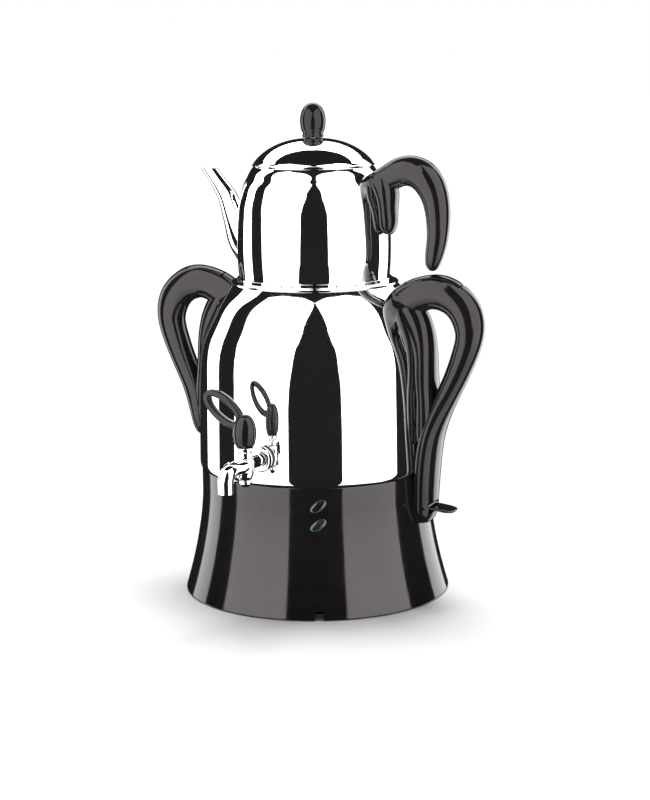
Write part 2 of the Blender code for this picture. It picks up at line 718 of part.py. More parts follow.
HANDLE_SCREW_SHARES = (0.20, 0.58)


def handle(name, end_stations, turn):
    """One handle and its cap strip, on local +X and turned to its side."""
    seat = {"parent": stand, "rotation": (0.0, 0.0, turn)}
    arch = on_tank(ARCH_SHARES)
    room = stand_cutter(name + "_room")
    grip = swept(name, arch + end_stations, "black", **seat)
    join(grip, swept(name + "_saddle", on_tank(SADDLE_SHARES), None, **seat))
    strip = crest(arch, -OVERRUN)
    pocket = prism(
        name + "_pocket", strip + crest(arch, CAP_DEPTH + FIT_GAP)[::-1], CAP_HALF_WIDTH + FIT_GAP, **seat,
    )
    cut(grip, room, pocket)
    cap = swept(name + "_cap", arch, "black", **seat)
    shape = prism(name + "_cap_shape", strip[:-1] + crest(arch, CAP_DEPTH)[-2::-1], CAP_HALF_WIDTH, **seat)
    combine(cap, shape, "INTERSECT")
    cut(cap, room)
    screw_holes = rods(
        name + "_screw_holes",
        [((TANK_RADIUS - SCREW_HEAD_HEIGHT - OVERRUN, 0.0, TANK_BOTTOM + TANK_HEIGHT * share), (1, 0, 0))
         for share in HANDLE_SCREW_SHARES],
        HANDLE_SCREW_RADIUS + FIT_GAP, HANDLE_SCREW_BITE + SCREW_HEAD_HEIGHT + 2 * OVERRUN, sides=10, **seat,
    )
    cut(grip, screw_holes)
    cut(tank_shell, screw_holes)
    return grip


left_handle = handle("left_handle", on_tank(LEFT_END_SHARES), math.pi)
right_handle = handle("right_handle", on_tank(RIGHT_WALL_SHARES) + on_base(RIGHT_END_SHARES), 0.0)


def tank_radius(height):
    """Outer radius of the tank at a height, straight between the outline's points."""
    points = tank_outline()
    for (upper_radius, upper), (lower_radius, lower) in zip(points, points[1:]):
        if lower <= height <= upper:
            share = (height - lower) / (upper - lower)
            return lower_radius + (upper_radius - lower_radius) * share
    return TANK_RADIUS


# Screws that hold the handles, put in from inside the tank
for side, side_name in ((-1, "left"), (1, "right")):
    for share, level in zip(HANDLE_SCREW_SHARES, ("lower", "upper")):
        height = TANK_BOTTOM + TANK_HEIGHT * share
        narrowest = min(tank_radius(height - SCREW_HEAD_RADIUS), tank_radius(height + SCREW_HEAD_RADIUS))
        head_face = (narrowest - TANK_WALL) * FACET_SHARE - FIT_GAP - SCREW_HEAD_HEIGHT
        screw(
            f"{side_name}_handle_screw_{level}", (side * head_face, 0.0, height), (side, 0, 0),
            (SCREW_HEAD_RADIUS, SCREW_HEAD_HEIGHT), (HANDLE_SCREW_RADIUS, HANDLE_SCREW_BITE), stand,
        )

# Switch lever: a paddle on a pin across the right handle, whose tail works the switch in the base
switch_axis = empty("switch_axis", (TANK_RADIUS + SWITCH_PIVOT_REACH, 0.0, SWITCH_HEIGHT), stand)
blade_length = SWITCH_TIP_REACH - SWITCH_PIVOT_REACH
BLADE_SHARES = (
    (0.0, 1.0, 0.96), (0.35, 1.0, 1.0), (0.70, 0.95, 1.0), (0.88, 0.75, 0.84), (0.97, 0.5, 0.55),
    (1.0, 0.2, 0.2),
)
switch_lever = swept(
    "switch_lever",
    [(blade_length * out, -blade_length * out * math.tan(SWITCH_DROOP), SWITCH_THICKNESS / 2 * thick,
      SWITCH_HALF_WIDTH * wide) for out, thick, wide in BLADE_SHARES],
    "black", squareness=3.0, parent=switch_axis,
)
lever_hub = rods(
    "lever_hub", [((0.0, -SWITCH_HALF_WIDTH, 0.0), (0, 1, 0))], SWITCH_HUB_RADIUS, 2 * SWITCH_HALF_WIDTH,
    sides=14, parent=switch_axis,
)
lever_tail = block(
    "lever_tail", (-SWITCH_TAIL_REACH, -SWITCH_TAIL_HALF_WIDTH, -SWITCH_THICKNESS / 2),
    (0.0, SWITCH_TAIL_HALF_WIDTH, SWITCH_THICKNESS / 2), parent=switch_axis,
)
pin_bore = rods(
    "pin_bore", [((0.0, -SWITCH_PIN_HALF_LENGTH - 4 * OVERRUN, 0.0), (0, 1, 0))],
    SWITCH_PIN_RADIUS + FIT_GAP, 2 * SWITCH_PIN_HALF_LENGTH + 8 * OVERRUN, parent=switch_axis,
)
join(switch_lever, lever_hub, lever_tail)
cut(switch_lever, pin_bore)
rods(
    "switch_pin", [((0.0, -SWITCH_PIN_HALF_LENGTH, 0.0), (0, 1, 0))], SWITCH_PIN_RADIUS,
    2 * SWITCH_PIN_HALF_LENGTH, "zinc", parent=switch_axis,
)
switch_slot = block(
    "switch_slot", (-SWITCH_HUB_RADIUS - RUN_GAP, -SWITCH_HALF_WIDTH - RUN_GAP, -SWITCH_SLOT_HALF_HEIGHT),
    (blade_length, SWITCH_HALF_WIDTH + RUN_GAP, SWITCH_SLOT_HALF_HEIGHT), parent=switch_axis,
)
tail_room = SWITCH_SLOT_HALF_HEIGHT - RUN_GAP
tail_slot = block(
    "tail_slot", (-SWITCH_TAIL_REACH - BASE_WALL, -SWITCH_TAIL_HALF_WIDTH - RUN_GAP, -tail_room),
    (0.0, SWITCH_TAIL_HALF_WIDTH + RUN_GAP, tail_room), parent=switch_axis,
)
cut(right_handle, pin_bore, tail_slot, switch_slot)
cut(base_housing, tail_slot)
switch_box_face = (base_radius(SWITCH_HEIGHT) - BASE_WALL) * FACET_SHARE - RUN_GAP
switch_box_front = math.sqrt(switch_box_face ** 2 - SWITCH_BOX_HALF_WIDTH ** 2)
tail_tip = TANK_RADIUS + SWITCH_PIVOT_REACH - SWITCH_TAIL_REACH - RUN_GAP
micro_switch_front = min(switch_box_front, tail_tip)
block(
    "micro_switch",
    (micro_switch_front - SWITCH_BOX_DEPTH, -SWITCH_BOX_HALF_WIDTH, SWITCH_HEIGHT - SWITCH_BOX_HALF_HEIGHT),
    (micro_switch_front, SWITCH_BOX_HALF_WIDTH, SWITCH_HEIGHT + SWITCH_BOX_HALF_HEIGHT),
    "black", parent=stand,
)

# Tap: every piece lies in the tap's own frame, with +X out of the tank and +Z up
wall = tank_radius(TAP_HEIGHT)
gasket_face = wall + FIT_GAP + TAP_GASKET_THICKNESS
flange_back = gasket_face + FIT_GAP
flange_face = flange_back + TAP_FLANGE_THICKNESS
stem_x = wall + TAP_STEM_REACH
lying = {"parent": tap_mount, "rotation": (0.0, math.pi / 2, 0.0)}
shank_hole = rods(
    "shank_hole", [((wall - TAP_SHANK_TAIL - OVERRUN, 0.0, 0.0), (1, 0, 0))], TAP_SHANK_RADIUS + FIT_GAP,
    TAP_SHANK_TAIL + TAP_STEM_REACH / 2 + OVERRUN, sides=SMALL_STEPS, parent=tap_mount,
)
cut(tank_shell, shank_hole)
gasket = turned(
    "tap_gasket", [(0.0, gasket_face), (TAP_GASKET_RADIUS, gasket_face),
                   (TAP_GASKET_RADIUS, wall - TAP_GASKET_THICKNESS), (0.0, wall - TAP_GASKET_THICKNESS)],
    "rubber", steps=SMALL_STEPS, **lying,
)
tank_trim = turned(
    "tank_trim", [(0.0, TANK_TOP)] + tank_outline(FIT_GAP) + [(0.0, TANK_BOTTOM)], None, parent=stand,
)
cut(gasket, tank_trim, shank_hole)
FLANGE_EDGE_SHARE = 0.35
flange = turned(
    "tap_flange",
    [(0.0, flange_face), (TAP_FLANGE_RADIUS * (1 - FLANGE_EDGE_SHARE / 2), flange_face),
     (TAP_FLANGE_RADIUS, flange_face - TAP_FLANGE_THICKNESS * FLANGE_EDGE_SHARE),
     (TAP_FLANGE_RADIUS, flange_back), (0.0, flange_back)],
    "chrome", steps=SMALL_STEPS, **lying,
)
cut(flange, shank_hole)
TUBE_SHARES = (
    (-0.02, 0.00, 1.00), (0.25, 0.00, 1.02), (0.48, 0.02, 1.03), (0.70, 0.03, 1.03),
    (0.86, -0.05, 1.03), (0.96, -0.22, 1.01), (1.00, -0.44, 1.0), (1.00, -0.70, 1.0),
    (1.00, -1.0, 1.0),
)
tap_body = swept(
    "tap_body",
    [(stem_x + TAP_SPOUT_REACH * out, TAP_MOUTH_DROP * up, TAP_TUBE_RADIUS * size, TAP_TUBE_RADIUS * size)
     for out, up, size in TUBE_SHARES],
    "chrome", squareness=2.0, parent=tap_mount,
)
barrel = turned(
    "barrel",
    [(0.0, TAP_BARREL_TOP), (TAP_BONNET_RADIUS, TAP_BARREL_TOP), (TAP_BARREL_RADIUS, TAP_BARREL_TOP / 3),
     (TAP_BARREL_RADIUS, -TAP_BARREL_BOTTOM / 2), (TAP_END_CAP_RADIUS, -TAP_BARREL_BOTTOM),
     (0.0, -TAP_BARREL_BOTTOM)],
    None, steps=SMALL_STEPS, parent=tap_mount, location=(stem_x, 0.0, 0.0),
)
shank = rods(
    "shank", [((wall - TAP_SHANK_TAIL, 0.0, 0.0), (1, 0, 0))],
    TAP_SHANK_RADIUS, TAP_SHANK_TAIL + TAP_STEM_REACH, sides=SMALL_STEPS, parent=tap_mount,
)
mouth_x = stem_x + TAP_SPOUT_REACH
mouth_z = -TAP_MOUTH_DROP
tap_bore = rods(
    "tap_bore", [((mouth_x, 0.0, mouth_z - OVERRUN), (0, 0, 1))], TAP_BORE_RADIUS, TAP_BORE_DEPTH + OVERRUN,
    sides=14, parent=tap_mount,
)
join(tap_body, barrel, shank)
cut(tap_body, tap_bore)
turned(
    "tap_end_cap",
    [(0.0, -TAP_BARREL_BOTTOM - FIT_GAP), (TAP_END_CAP_RADIUS, -TAP_BARREL_BOTTOM - FIT_GAP),
     (TAP_END_CAP_RADIUS, -TAP_BARREL_BOTTOM - FIT_GAP - TAP_END_CAP_DROP / 3),
     (TAP_END_CAP_RADIUS / 2, -TAP_BARREL_BOTTOM - FIT_GAP - TAP_END_CAP_DROP),
     (0.0, -TAP_BARREL_BOTTOM - FIT_GAP - TAP_END_CAP_DROP)],
    "chrome", steps=14, parent=tap_mount, location=(stem_x, 0.0, 0.0),
)
stem_end = TAP_BARREL_TOP + 2 * FIT_GAP
stem_bore = TAP_STEM_RADIUS + FIT_GAP
bonnet_bottom = TAP_BARREL_TOP + FIT_GAP
bonnet_top = bonnet_bottom + TAP_BONNET_HEIGHT
BONNET_WAIST_SHARE = 0.86
turned(
    "tap_bonnet",
    [(TAP_BONNET_RADIUS, bonnet_top), (TAP_BONNET_RADIUS, bonnet_top - TAP_BONNET_HEIGHT / 3),
     (TAP_BONNET_RADIUS * BONNET_WAIST_SHARE, bonnet_top - TAP_BONNET_HEIGHT / 2),
     (TAP_BONNET_RADIUS, bonnet_bottom), (stem_bore, bonnet_bottom), (stem_bore, bonnet_top)],
    "chrome", steps=SMALL_STEPS, closed=True, parent=tap_mount, location=(stem_x, 0.0, 0.0),
)
nut_face = math.sqrt(((wall - TANK_WALL) * FACET_SHARE) ** 2 - TAP_NUT_RADIUS ** 2) - FIT_GAP
tap_nut = rods(
    "tap_nut", [((nut_face, 0.0, 0.0), (-1, 0, 0))], TAP_NUT_RADIUS, TAP_NUT_THICKNESS, "zinc", sides=6,
    parent=tap_mount,
)
cut(tap_nut, shank_hole)

# Tap handle: a stem that turns in the bonnet, with an egg and a finger loop moulded on it
tap_axis = empty("tap_axis", (stem_x, 0.0, 0.0), tap_mount)
egg_bottom = bonnet_top + FIT_GAP
EGG_SHARES = (
    (0.0, 1.0), (0.36, 0.975), (0.62, 0.90), (0.84, 0.76), (0.96, 0.60), (1.0, 0.42), (0.95, 0.23),
    (0.84, 0.08), (0.70, 0.0), (0.0, 0.0),
)
tap_lever = turned(
    "tap_lever", [(TAP_EGG_RADIUS * wide, egg_bottom + TAP_EGG_HEIGHT * high) for wide, high in EGG_SHARES],
    "black", steps=SMALL_STEPS, parent=tap_axis,
)
stem_top = egg_bottom + TAP_EGG_HEIGHT / 2
rods(
    "tap_stem", [((0.0, 0.0, stem_end), (0, 0, 1))], TAP_STEM_RADIUS, stem_top - stem_end, "chrome",
    parent=tap_axis,
)
stem_socket = rods(
    "stem_socket", [((0.0, 0.0, stem_end - OVERRUN), (0, 0, 1))], TAP_STEM_RADIUS + FIT_GAP,
    stem_top - stem_end + OVERRUN + FIT_GAP, parent=tap_axis,
)
LOOP_POINTS = 22
LOOP_SIDES = 8
LOOP_RISE_SHARE = 0.57
LOOP_SHIFT_SHARE = 0.56


def finger_loop(name):
    """Oval loop in the plane of the stem and the tank's tangent."""
    shape = bmesh.new()
    half_length = (TAP_LOOP_LENGTH - TAP_LOOP_BAR) / 2
    half_width = (TAP_LOOP_WIDTH - TAP_LOOP_BAR) / 2
    centre = Vector((0.0, 0.0, egg_bottom + TAP_EGG_HEIGHT * LOOP_RISE_SHARE))
    long_axis = Vector((0.0, -math.cos(TAP_LOOP_TILT), math.sin(TAP_LOOP_TILT)))
    short_axis = Vector((0.0, math.sin(TAP_LOOP_TILT), math.cos(TAP_LOOP_TILT)))
    centre += long_axis * TAP_LOOP_LENGTH * LOOP_SHIFT_SHARE
    rings = []
    for i in range(LOOP_POINTS):
        angle = math.tau * i / LOOP_POINTS
        along, across = long_axis * math.cos(angle), short_axis * math.sin(angle)
        middle = centre + along * half_length + across * half_width
        outward = (along / half_length + across / half_width).normalized()
        ring = []
        for side in range(LOOP_SIDES):
            turn = math.tau * side / LOOP_SIDES
            offset = outward * math.cos(turn) * TAP_LOOP_BAR / 2
            offset += Vector((math.sin(turn) * TAP_LOOP_DEPTH / 2, 0.0, 0.0))
            ring.append(shape.verts.new(middle + offset))
        rings.append(ring)
    for first, second in zip(rings, rings[1:] + rings[:1]):
        for side in range(LOOP_SIDES):
            after = (side + 1) % LOOP_SIDES
            shape.faces.new((first[side], first[after], second[after], second[side]))
    return from_bmesh(shape, name, None, parent=tap_axis)


join(tap_lever, finger_loop("finger_loop"))
cut(tap_lever, stem_socket)

# Steam ring: a pressed ring that covers the tank's mouth and carries the teapot on its vented step
BEAD_FLAT_SHARES = (0.72, 0.28)
ring_outline = [
    (RING_RADIUS - RING_WALL, RING_BEAD_HEIGHT), (RING_RADIUS, RING_BEAD_HEIGHT * BEAD_FLAT_SHARES[0]),
    (RING_RADIUS, RING_BEAD_HEIGHT * BEAD_FLAT_SHARES[1]), (RING_RADIUS - RING_WALL, 0.0),
    (lip_radius - FIT_GAP, 0.0), (lip_radius - FIT_GAP, -RING_SKIRT_DEPTH),
    (lip_radius - FIT_GAP - RING_WALL, -RING_SKIRT_DEPTH), (lip_radius - FIT_GAP - RING_WALL, RING_WALL),
    (RISER_RADIUS - RING_WALL, RING_WALL),
    (RISER_RADIUS - RING_WALL, RING_BEAD_HEIGHT + RISER_HEIGHT - RING_WALL),
    (RING_BORE_RADIUS, RING_BEAD_HEIGHT + RISER_HEIGHT - RING_WALL),
    (RING_BORE_RADIUS, RING_BEAD_HEIGHT + RISER_HEIGHT), (RISER_RADIUS, RING_BEAD_HEIGHT + RISER_HEIGHT),
    (RISER_RADIUS, RING_BEAD_HEIGHT),
]
steam_ring = turned("steam_ring", ring_outline, "steel", closed=True, parent=ring_seat)
vent_height = RING_BEAD_HEIGHT + (RISER_HEIGHT - RING_WALL) / 2
vents = rods(
    "vents",
    [(on_circle(RISER_RADIUS - 2 * RING_WALL, math.tau * i / VENT_COUNT, vent_height),
      on_circle(1.0, math.tau * i / VENT_COUNT, 0.0)) for i in range(VENT_COUNT)],
    VENT_RADIUS, 3 * RING_WALL, sides=VENT_SIDES, parent=ring_seat,
)
cut(steam_ring, vents)

# Teapot body: a spun pot with a foot ring, a raised floor and a narrow mouth
pot_outer = pot_outline()
foot_radius = pot_outer[-1][0]
pot_inside = [point for point in pot_outline(-POT_WALL)[-3:0:-2] if point[1] > POT_FLOOR_LIFT + 2 * POT_WALL]
teapot_body = turned(
    "teapot_body",
    [(POT_MOUTH_RADIUS, POT_HEIGHT)] + pot_outer
    + [(foot_radius - POT_FOOT_WIDTH, 0.0), (foot_radius - POT_FOOT_WIDTH, POT_FLOOR_LIFT),
       (0.0, POT_FLOOR_LIFT), (0.0, POT_FLOOR_LIFT + POT_WALL),
       (foot_radius - POT_FOOT_WIDTH, POT_FLOOR_LIFT + POT_WALL)]
    + pot_inside
    + [(POT_NECK_RADIUS - POT_WALL, POT_HEIGHT - POT_WALL), (POT_MOUTH_RADIUS, POT_HEIGHT - POT_WALL)],
    "steel", closed=True, parent=pot_seat,
)
pot_trim = turned(
    "pot_trim", [(0.0, POT_HEIGHT)] + pot_outline(FIT_GAP) + [(0.0, 0.0)], None, parent=pot_seat,
)

# Spout: a tapering steel horn with a level mouth, over strainer holes in the pot's wall
SPOUT_SHARES = (
    (-0.25, 0.26, 2.37, 1.83), (0.0, 0.355, 1.95, 1.62), (0.195, 0.49, 1.37, 1.26),
    (0.317, 0.61, 1.13, 1.06), (0.415, 0.714, 1.0, 0.93), (0.60, 0.836, 0.81, 0.80),
    (0.81, 0.955, 0.70, 0.71), (1.02, 1.07, 0.68, 0.68),
)


def spout_stations(inset=0.0):
    """Stations of the spout on local +X, thinner by inset."""
    return [
        (POT_RADIUS + SPOUT_STAND + SPOUT_REACH * out, SPOUT_MOUTH_HEIGHT * up,
         SPOUT_HALF_THICKNESS * thick - inset, SPOUT_HALF_THICKNESS * wide - inset)
        for out, up, thick, wide in SPOUT_SHARES
    ]


backwards = {"parent": pot_seat, "rotation": (0.0, 0.0, math.pi)}
teapot_spout = swept("teapot_spout", spout_stations(), "steel", squareness=2.0, **backwards)
spout_bore = swept("spout_bore", spout_stations(SPOUT_WALL), None, squareness=2.0, **backwards)
spout_mouth = block(
    "spout_mouth", (POT_RADIUS, -SPOUT_HALF_THICKNESS * 2, SPOUT_MOUTH_HEIGHT),
    (POT_RADIUS + SPOUT_REACH * 2, SPOUT_HALF_THICKNESS * 2, SPOUT_MOUTH_HEIGHT + SPOUT_REACH), **backwards,
)
cut(teapot_spout, spout_bore, pot_trim, spout_mouth)
STRAINER_RADIUS = 0.0019
STRAINER_SPACING = 0.0066
STRAINER_HEIGHT_SHARE = 0.30
strainer_places = [(0.0, 0.0)] + [
    (STRAINER_SPACING * math.cos(math.radians(60 * i)), STRAINER_SPACING * math.sin(math.radians(60 * i)))
    for i in range(6)
]
strainer = rods(
    "strainer",
    [((POT_RADIUS - 3 * POT_WALL - OVERRUN, aside, POT_HEIGHT * STRAINER_HEIGHT_SHARE + up), (1, 0, 0))
     for aside, up in strainer_places],
    STRAINER_RADIUS, 3 * POT_WALL + 2 * OVERRUN, sides=8, **backwards,
)
cut(teapot_body, strainer)

# Teapot handle: an open hook with a saddle that is fixed against the pot's wall
HOOK_SHARES = (
    (-0.17, 0.807, 0.85, 1.0), (0.075, 0.872, 0.96, 1.0), (0.245, 0.922, 1.04, 1.0),
    (0.45, 0.929, 1.10, 1.0), (0.60, 0.885, 1.12, 1.0), (0.705, 0.809, 1.08, 0.98),
    (0.78, 0.705, 0.98, 0.96), (0.825, 0.530, 0.86, 0.90), (0.812, 0.328, 0.74, 0.78),
    (0.750, 0.142, 0.57, 0.60), (0.731, 0.087, 0.40, 0.43), (0.72, 0.062, 0.16, 0.18),
)
YOKE_SHARES = (
    (-0.05, 0.84, 0.92, 1.15), (0.02, 0.745, 0.84, 1.25), (0.042, 0.605, 0.68, 1.08),
    (0.045, 0.485, 0.66, 0.92), (0.035, 0.415, 0.54, 0.76), (0.02, 0.385, 0.37, 0.52),
    (0.01, 0.371, 0.16, 0.22),
)


def hook_stations(shares):
    """Stations of the teapot handle on local +X."""
    return [
        (POT_RADIUS + HOOK_STAND + HOOK_REACH * out, POT_HEIGHT * up + POT_FLOOR_LIFT,
         HOOK_HALF_THICKNESS * thick, HOOK_HALF_WIDTH * wide)
        for out, up, thick, wide in shares
    ]


teapot_handle = swept("teapot_handle", hook_stations(HOOK_SHARES), "black", parent=pot_seat)
join(teapot_handle, swept("yoke", hook_stations(YOKE_SHARES), None, parent=pot_seat))
lid_room_radius = LID_RADIUS + RUN_GAP
lid_room = turned(
    "lid_room",
    [(0.0, POT_HEIGHT + LID_RISE), (lid_room_radius, POT_HEIGHT + LID_RISE),
     (lid_room_radius, POT_HEIGHT - OVERRUN), (0.0, POT_HEIGHT - OVERRUN)],
    None, parent=pot_seat,
)
cut(teapot_handle, pot_trim, lid_room)

# Lid: a pressed dome with a thin rim and a skirt that enters the mouth
DOME_STEPS = 6
skirt_radius = POT_MOUTH_RADIUS - RUN_GAP
dome_edge = LID_RADIUS - LID_RIM_THICKNESS
dome_height = LID_RISE - LID_RIM_THICKNESS
DOME_POWER = 2.4
DOME_FULLNESS_POWER = 0.80


def dome(radius, height, base):
    """Crown of the lid from its middle to its edge."""
    line = []
    for i in range(DOME_STEPS + 1):
        out = math.sin(math.pi / 2 * i / DOME_STEPS)
        line.append((radius * out, base + height * (1 - out ** DOME_POWER) ** DOME_FULLNESS_POWER))
    return line


lid_outline = dome(dome_edge, dome_height, LID_RIM_THICKNESS)
lid_outline += [(LID_RADIUS, LID_RIM_THICKNESS), (LID_RADIUS, 0.0), (skirt_radius, 0.0),
                (skirt_radius, -LID_SKIRT_DEPTH), (skirt_radius - LID_WALL, -LID_SKIRT_DEPTH)]
lid_outline += dome(skirt_radius - LID_WALL, dome_height - LID_WALL, LID_RIM_THICKNESS)[::-1]
lid_shell = turned("lid_shell", lid_outline, "steel", parent=lid_seat)
lid_hole = rods(
    "lid_hole", [((0.0, 0.0, LID_RISE - LID_WALL - 2 * OVERRUN), (0, 0, 1))], LID_SCREW_RADIUS + FIT_GAP,
    LID_SCREW_LENGTH + OVERRUN, parent=lid_seat,
)
cut(lid_shell, lid_hole)

# Knob and the screw that holds it from under the lid
KNOB_SHARES = (
    (0.0, 1.0), (0.34, 0.975), (0.62, 0.90), (0.84, 0.775), (0.96, 0.63), (1.0, 0.48), (0.97, 0.33),
    (0.87, 0.19), (0.78, 0.11), (0.83, 0.045), (0.79, 0.0), (0.0, 0.0),
)
knob_bottom = LID_RISE + FIT_GAP
lid_knob = turned(
    "lid_knob", [(KNOB_RADIUS * wide, knob_bottom + KNOB_HEIGHT * high) for wide, high in KNOB_SHARES],
    "black", steps=SMALL_STEPS, parent=lid_seat,
)
cut(lid_knob, lid_hole)
lid_screw_top = LID_RISE - LID_WALL - RUN_GAP
screw(
    "lid_screw", (0.0, 0.0, lid_screw_top - SCREW_HEAD_HEIGHT), (0, 0, 1),
    (SCREW_HEAD_RADIUS, SCREW_HEAD_HEIGHT), (LID_SCREW_RADIUS, LID_SCREW_LENGTH - OVERRUN), lid_seat,
)
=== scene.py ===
"""Electric samovar: fine shapes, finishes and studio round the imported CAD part. Units are metres."""
import math

import bmesh
import bpy
import numpy as np
from mathutils import Matrix, Vector


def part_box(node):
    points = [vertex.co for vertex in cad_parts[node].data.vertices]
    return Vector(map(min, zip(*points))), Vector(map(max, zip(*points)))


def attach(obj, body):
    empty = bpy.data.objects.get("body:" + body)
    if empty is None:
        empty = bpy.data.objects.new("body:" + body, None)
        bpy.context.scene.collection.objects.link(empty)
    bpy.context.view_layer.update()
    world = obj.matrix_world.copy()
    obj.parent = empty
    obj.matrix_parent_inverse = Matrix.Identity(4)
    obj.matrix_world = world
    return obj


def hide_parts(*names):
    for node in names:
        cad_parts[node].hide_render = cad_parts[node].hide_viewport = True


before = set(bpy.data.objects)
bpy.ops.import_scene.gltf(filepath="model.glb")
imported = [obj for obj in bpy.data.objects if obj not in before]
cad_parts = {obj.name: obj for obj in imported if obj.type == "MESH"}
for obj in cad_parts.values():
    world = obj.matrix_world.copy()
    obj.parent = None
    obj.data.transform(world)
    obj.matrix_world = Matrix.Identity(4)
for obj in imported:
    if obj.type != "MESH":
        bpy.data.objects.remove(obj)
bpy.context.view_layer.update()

# Base housing: a flared shell of gloss black plastic, moulded in one piece with a ledge for the tank.
# Its wall has a notch in the front rim, two slanted holes for the lamps and a round one for the gland.
BASE_HEIGHT = 0.1165
BASE_TOP_RADIUS = 0.1067
BASE_FOOT_RADIUS = 0.1239
BASE_WALL = 0.0025
BASE_RIM_HEIGHT = 0.0008
BASE_FLARE_SHARE = 0.82
BASE_FLARE_POWER = 1.65
BASE_LEDGE_WIDTH = 0.0125
BASE_LEDGE_THICKNESS = 0.003
BASE_EDGE_ROUNDING = 0.0009
BASE_RINGS = 72
NOTCH_WIDTH = 0.0083
NOTCH_HEIGHT = 0.0075
FRONT_TURN = math.radians(26.8)
FIT_GAP = 0.0003
RUN_GAP = 0.0005
CUT_SPARE = 0.002
ROUND_SIDES = 192
CREASE_ANGLE = math.radians(32)
BLACK_PLASTIC = (0.0125, 0.0118, 0.0112)


def smooth_line(points, count):
    """Natural spline through points of any number of coordinates, stepped evenly along its length."""
    knots = np.array(points, float)
    places = np.concatenate([[0.0], np.cumsum(np.linalg.norm(np.diff(knots, axis=0), axis=1))])
    gaps = np.diff(places)
    system = np.eye(len(knots))
    slopes = np.zeros_like(knots)
    for i in range(1, len(knots) - 1):
        system[i, i - 1:i + 2] = gaps[i - 1], 2 * (gaps[i - 1] + gaps[i]), gaps[i]
        slopes[i] = 6 * ((knots[i + 1] - knots[i]) / gaps[i] - (knots[i] - knots[i - 1]) / gaps[i - 1])
    bends = np.linalg.solve(system, slopes)
    line = []
    for place in np.linspace(0.0, places[-1], count):
        i = min(int(np.searchsorted(places, place, side="right")) - 1, len(gaps) - 1)
        back, on = (places[i + 1] - place) / gaps[i], (place - places[i]) / gaps[i]
        curve = (back ** 3 - back) * bends[i] + (on ** 3 - on) * bends[i + 1]
        line.append(tuple(back * knots[i] + on * knots[i + 1] + curve * gaps[i] ** 2 / 6))
    return line


def eased(outline, rounding, closed=True, steps=4):
    """Outline with its sharp corners rounded."""
    count = len(outline)
    out = []
    for i, corner in enumerate(outline):
        here = Vector(corner)
        if not closed and i in (0, count - 1):
            out.append(tuple(here))
            continue
        before, after = Vector(outline[i - 1]) - here, Vector(outline[(i + 1) % count]) - here
        if min(before.length, after.length) < 1e-9 or math.pi - before.angle(after) < math.radians(25):
            out.append(tuple(here))
            continue
        start = here + before.normalized() * min(rounding, before.length * 0.45)
        end = here + after.normalized() * min(rounding, after.length * 0.45)
        for step in range(steps + 1):
            share = step / steps
            out.append(tuple(start * (1 - share) ** 2 + here * 2 * share * (1 - share) + end
                * share ** 2))
    return out


def smoothed(piece):
    """Smooth shading with the real edges kept sharp."""
    piece.data.shade_smooth()
    piece.data.set_sharp_from_angle(angle=CREASE_ANGLE)
    return piece


def made_of(name, points, faces):
    """Object of a closed mesh whose faces point outwards."""
    shape = bmesh.new()
    corners = [shape.verts.new(point) for point in points]
    for face in faces:
        shape.faces.new([corners[i] for i in face])
    bmesh.ops.recalc_face_normals(shape, faces=shape.faces)
    mesh = bpy.data.meshes.new(name)
    shape.to_mesh(mesh)
    shape.free()
    piece = bpy.data.objects.new(name, mesh)
    bpy.context.scene.collection.objects.link(piece)
    return smoothed(piece)


def turned(name, outline, sides=ROUND_SIDES, closed=True):
    """Piece turned about +Z from an outline of (radius, height); an open one starts and ends on the axis."""
    points, rings = [], []
    for radius, height in outline:
        if radius < 1e-8:
            rings.append([len(points)] * sides)
            points.append((0.0, 0.0, height))
        else:
            rings.append(list(range(len(points), len(points) + sides)))
            points += [(radius * math.cos(math.tau * i / sides), radius * math.sin(math.tau * i / sides),
                height)
                       for i in range(sides)]
    faces = []
    for first, second in zip(rings, rings[1:] + (rings[:1] if closed else [])):
        for i in range(sides):
            after = (i + 1) % sides
            face = dict.fromkeys((first[i], first[after], second[after], second[i]))
            if len(face) > 2:
                faces.append(list(face))
    return made_of(name, points, faces)


def plain_mesh(piece):
    """Turns a piece's modifiers into its own mesh."""
    graph = bpy.context.evaluated_depsgraph_get()
    graph.update()
    made = bpy.data.meshes.new_from_object(piece.evaluated_get(graph))
    made.name = piece.name
    piece.modifiers.clear()
    piece.data = made
    return smoothed(piece)


def worked(piece, operation, *tools):
    """Cuts, joins or trims a piece with others, which are then thrown away."""
    for tool in tools:
        step = piece.modifiers.new(tool.name, "BOOLEAN")
        step.operation = operation
        step.solver = "EXACT"
        step.object = tool
    plain_mesh(piece)
    for tool in tools:
        bpy.data.objects.remove(tool, do_unlink=True)
    return piece


def moved(piece, matrix):
    """Puts a piece's place into its mesh."""
    piece.data.transform(matrix)
    piece.data.update()
    return piece


def box(name, low, high):
    """Block between two corners."""
    shape = bmesh.new()
    size = Vector(high) - Vector(low)
    middle = (Vector(high) + Vector(low)) / 2
    bmesh.ops.create_cube(shape, size=1.0, matrix=Matrix.Translation(middle)
        @ Matrix.Diagonal((*size, 1.0)))
    mesh = bpy.data.meshes.new(name)
    shape.to_mesh(mesh)
    shape.free()
    piece = bpy.data.objects.new(name, mesh)
    bpy.context.scene.collection.objects.link(piece)
    return smoothed(piece)


def rod(name, start, end, radius, sides=32, tip=1.0):
    """Round bar between two points, tapered to tip of its radius."""
    start, end = Vector(start), Vector(end)
    along = end - start
    piece = turned(name, [(0.0, 0.0), (radius, 0.0), (radius * tip, along.length), (0.0, along.length)],
        sides, False)
    return moved(piece, Matrix.Translation(start) @ along.to_track_quat("Z", "Y").to_matrix().to_4x4())


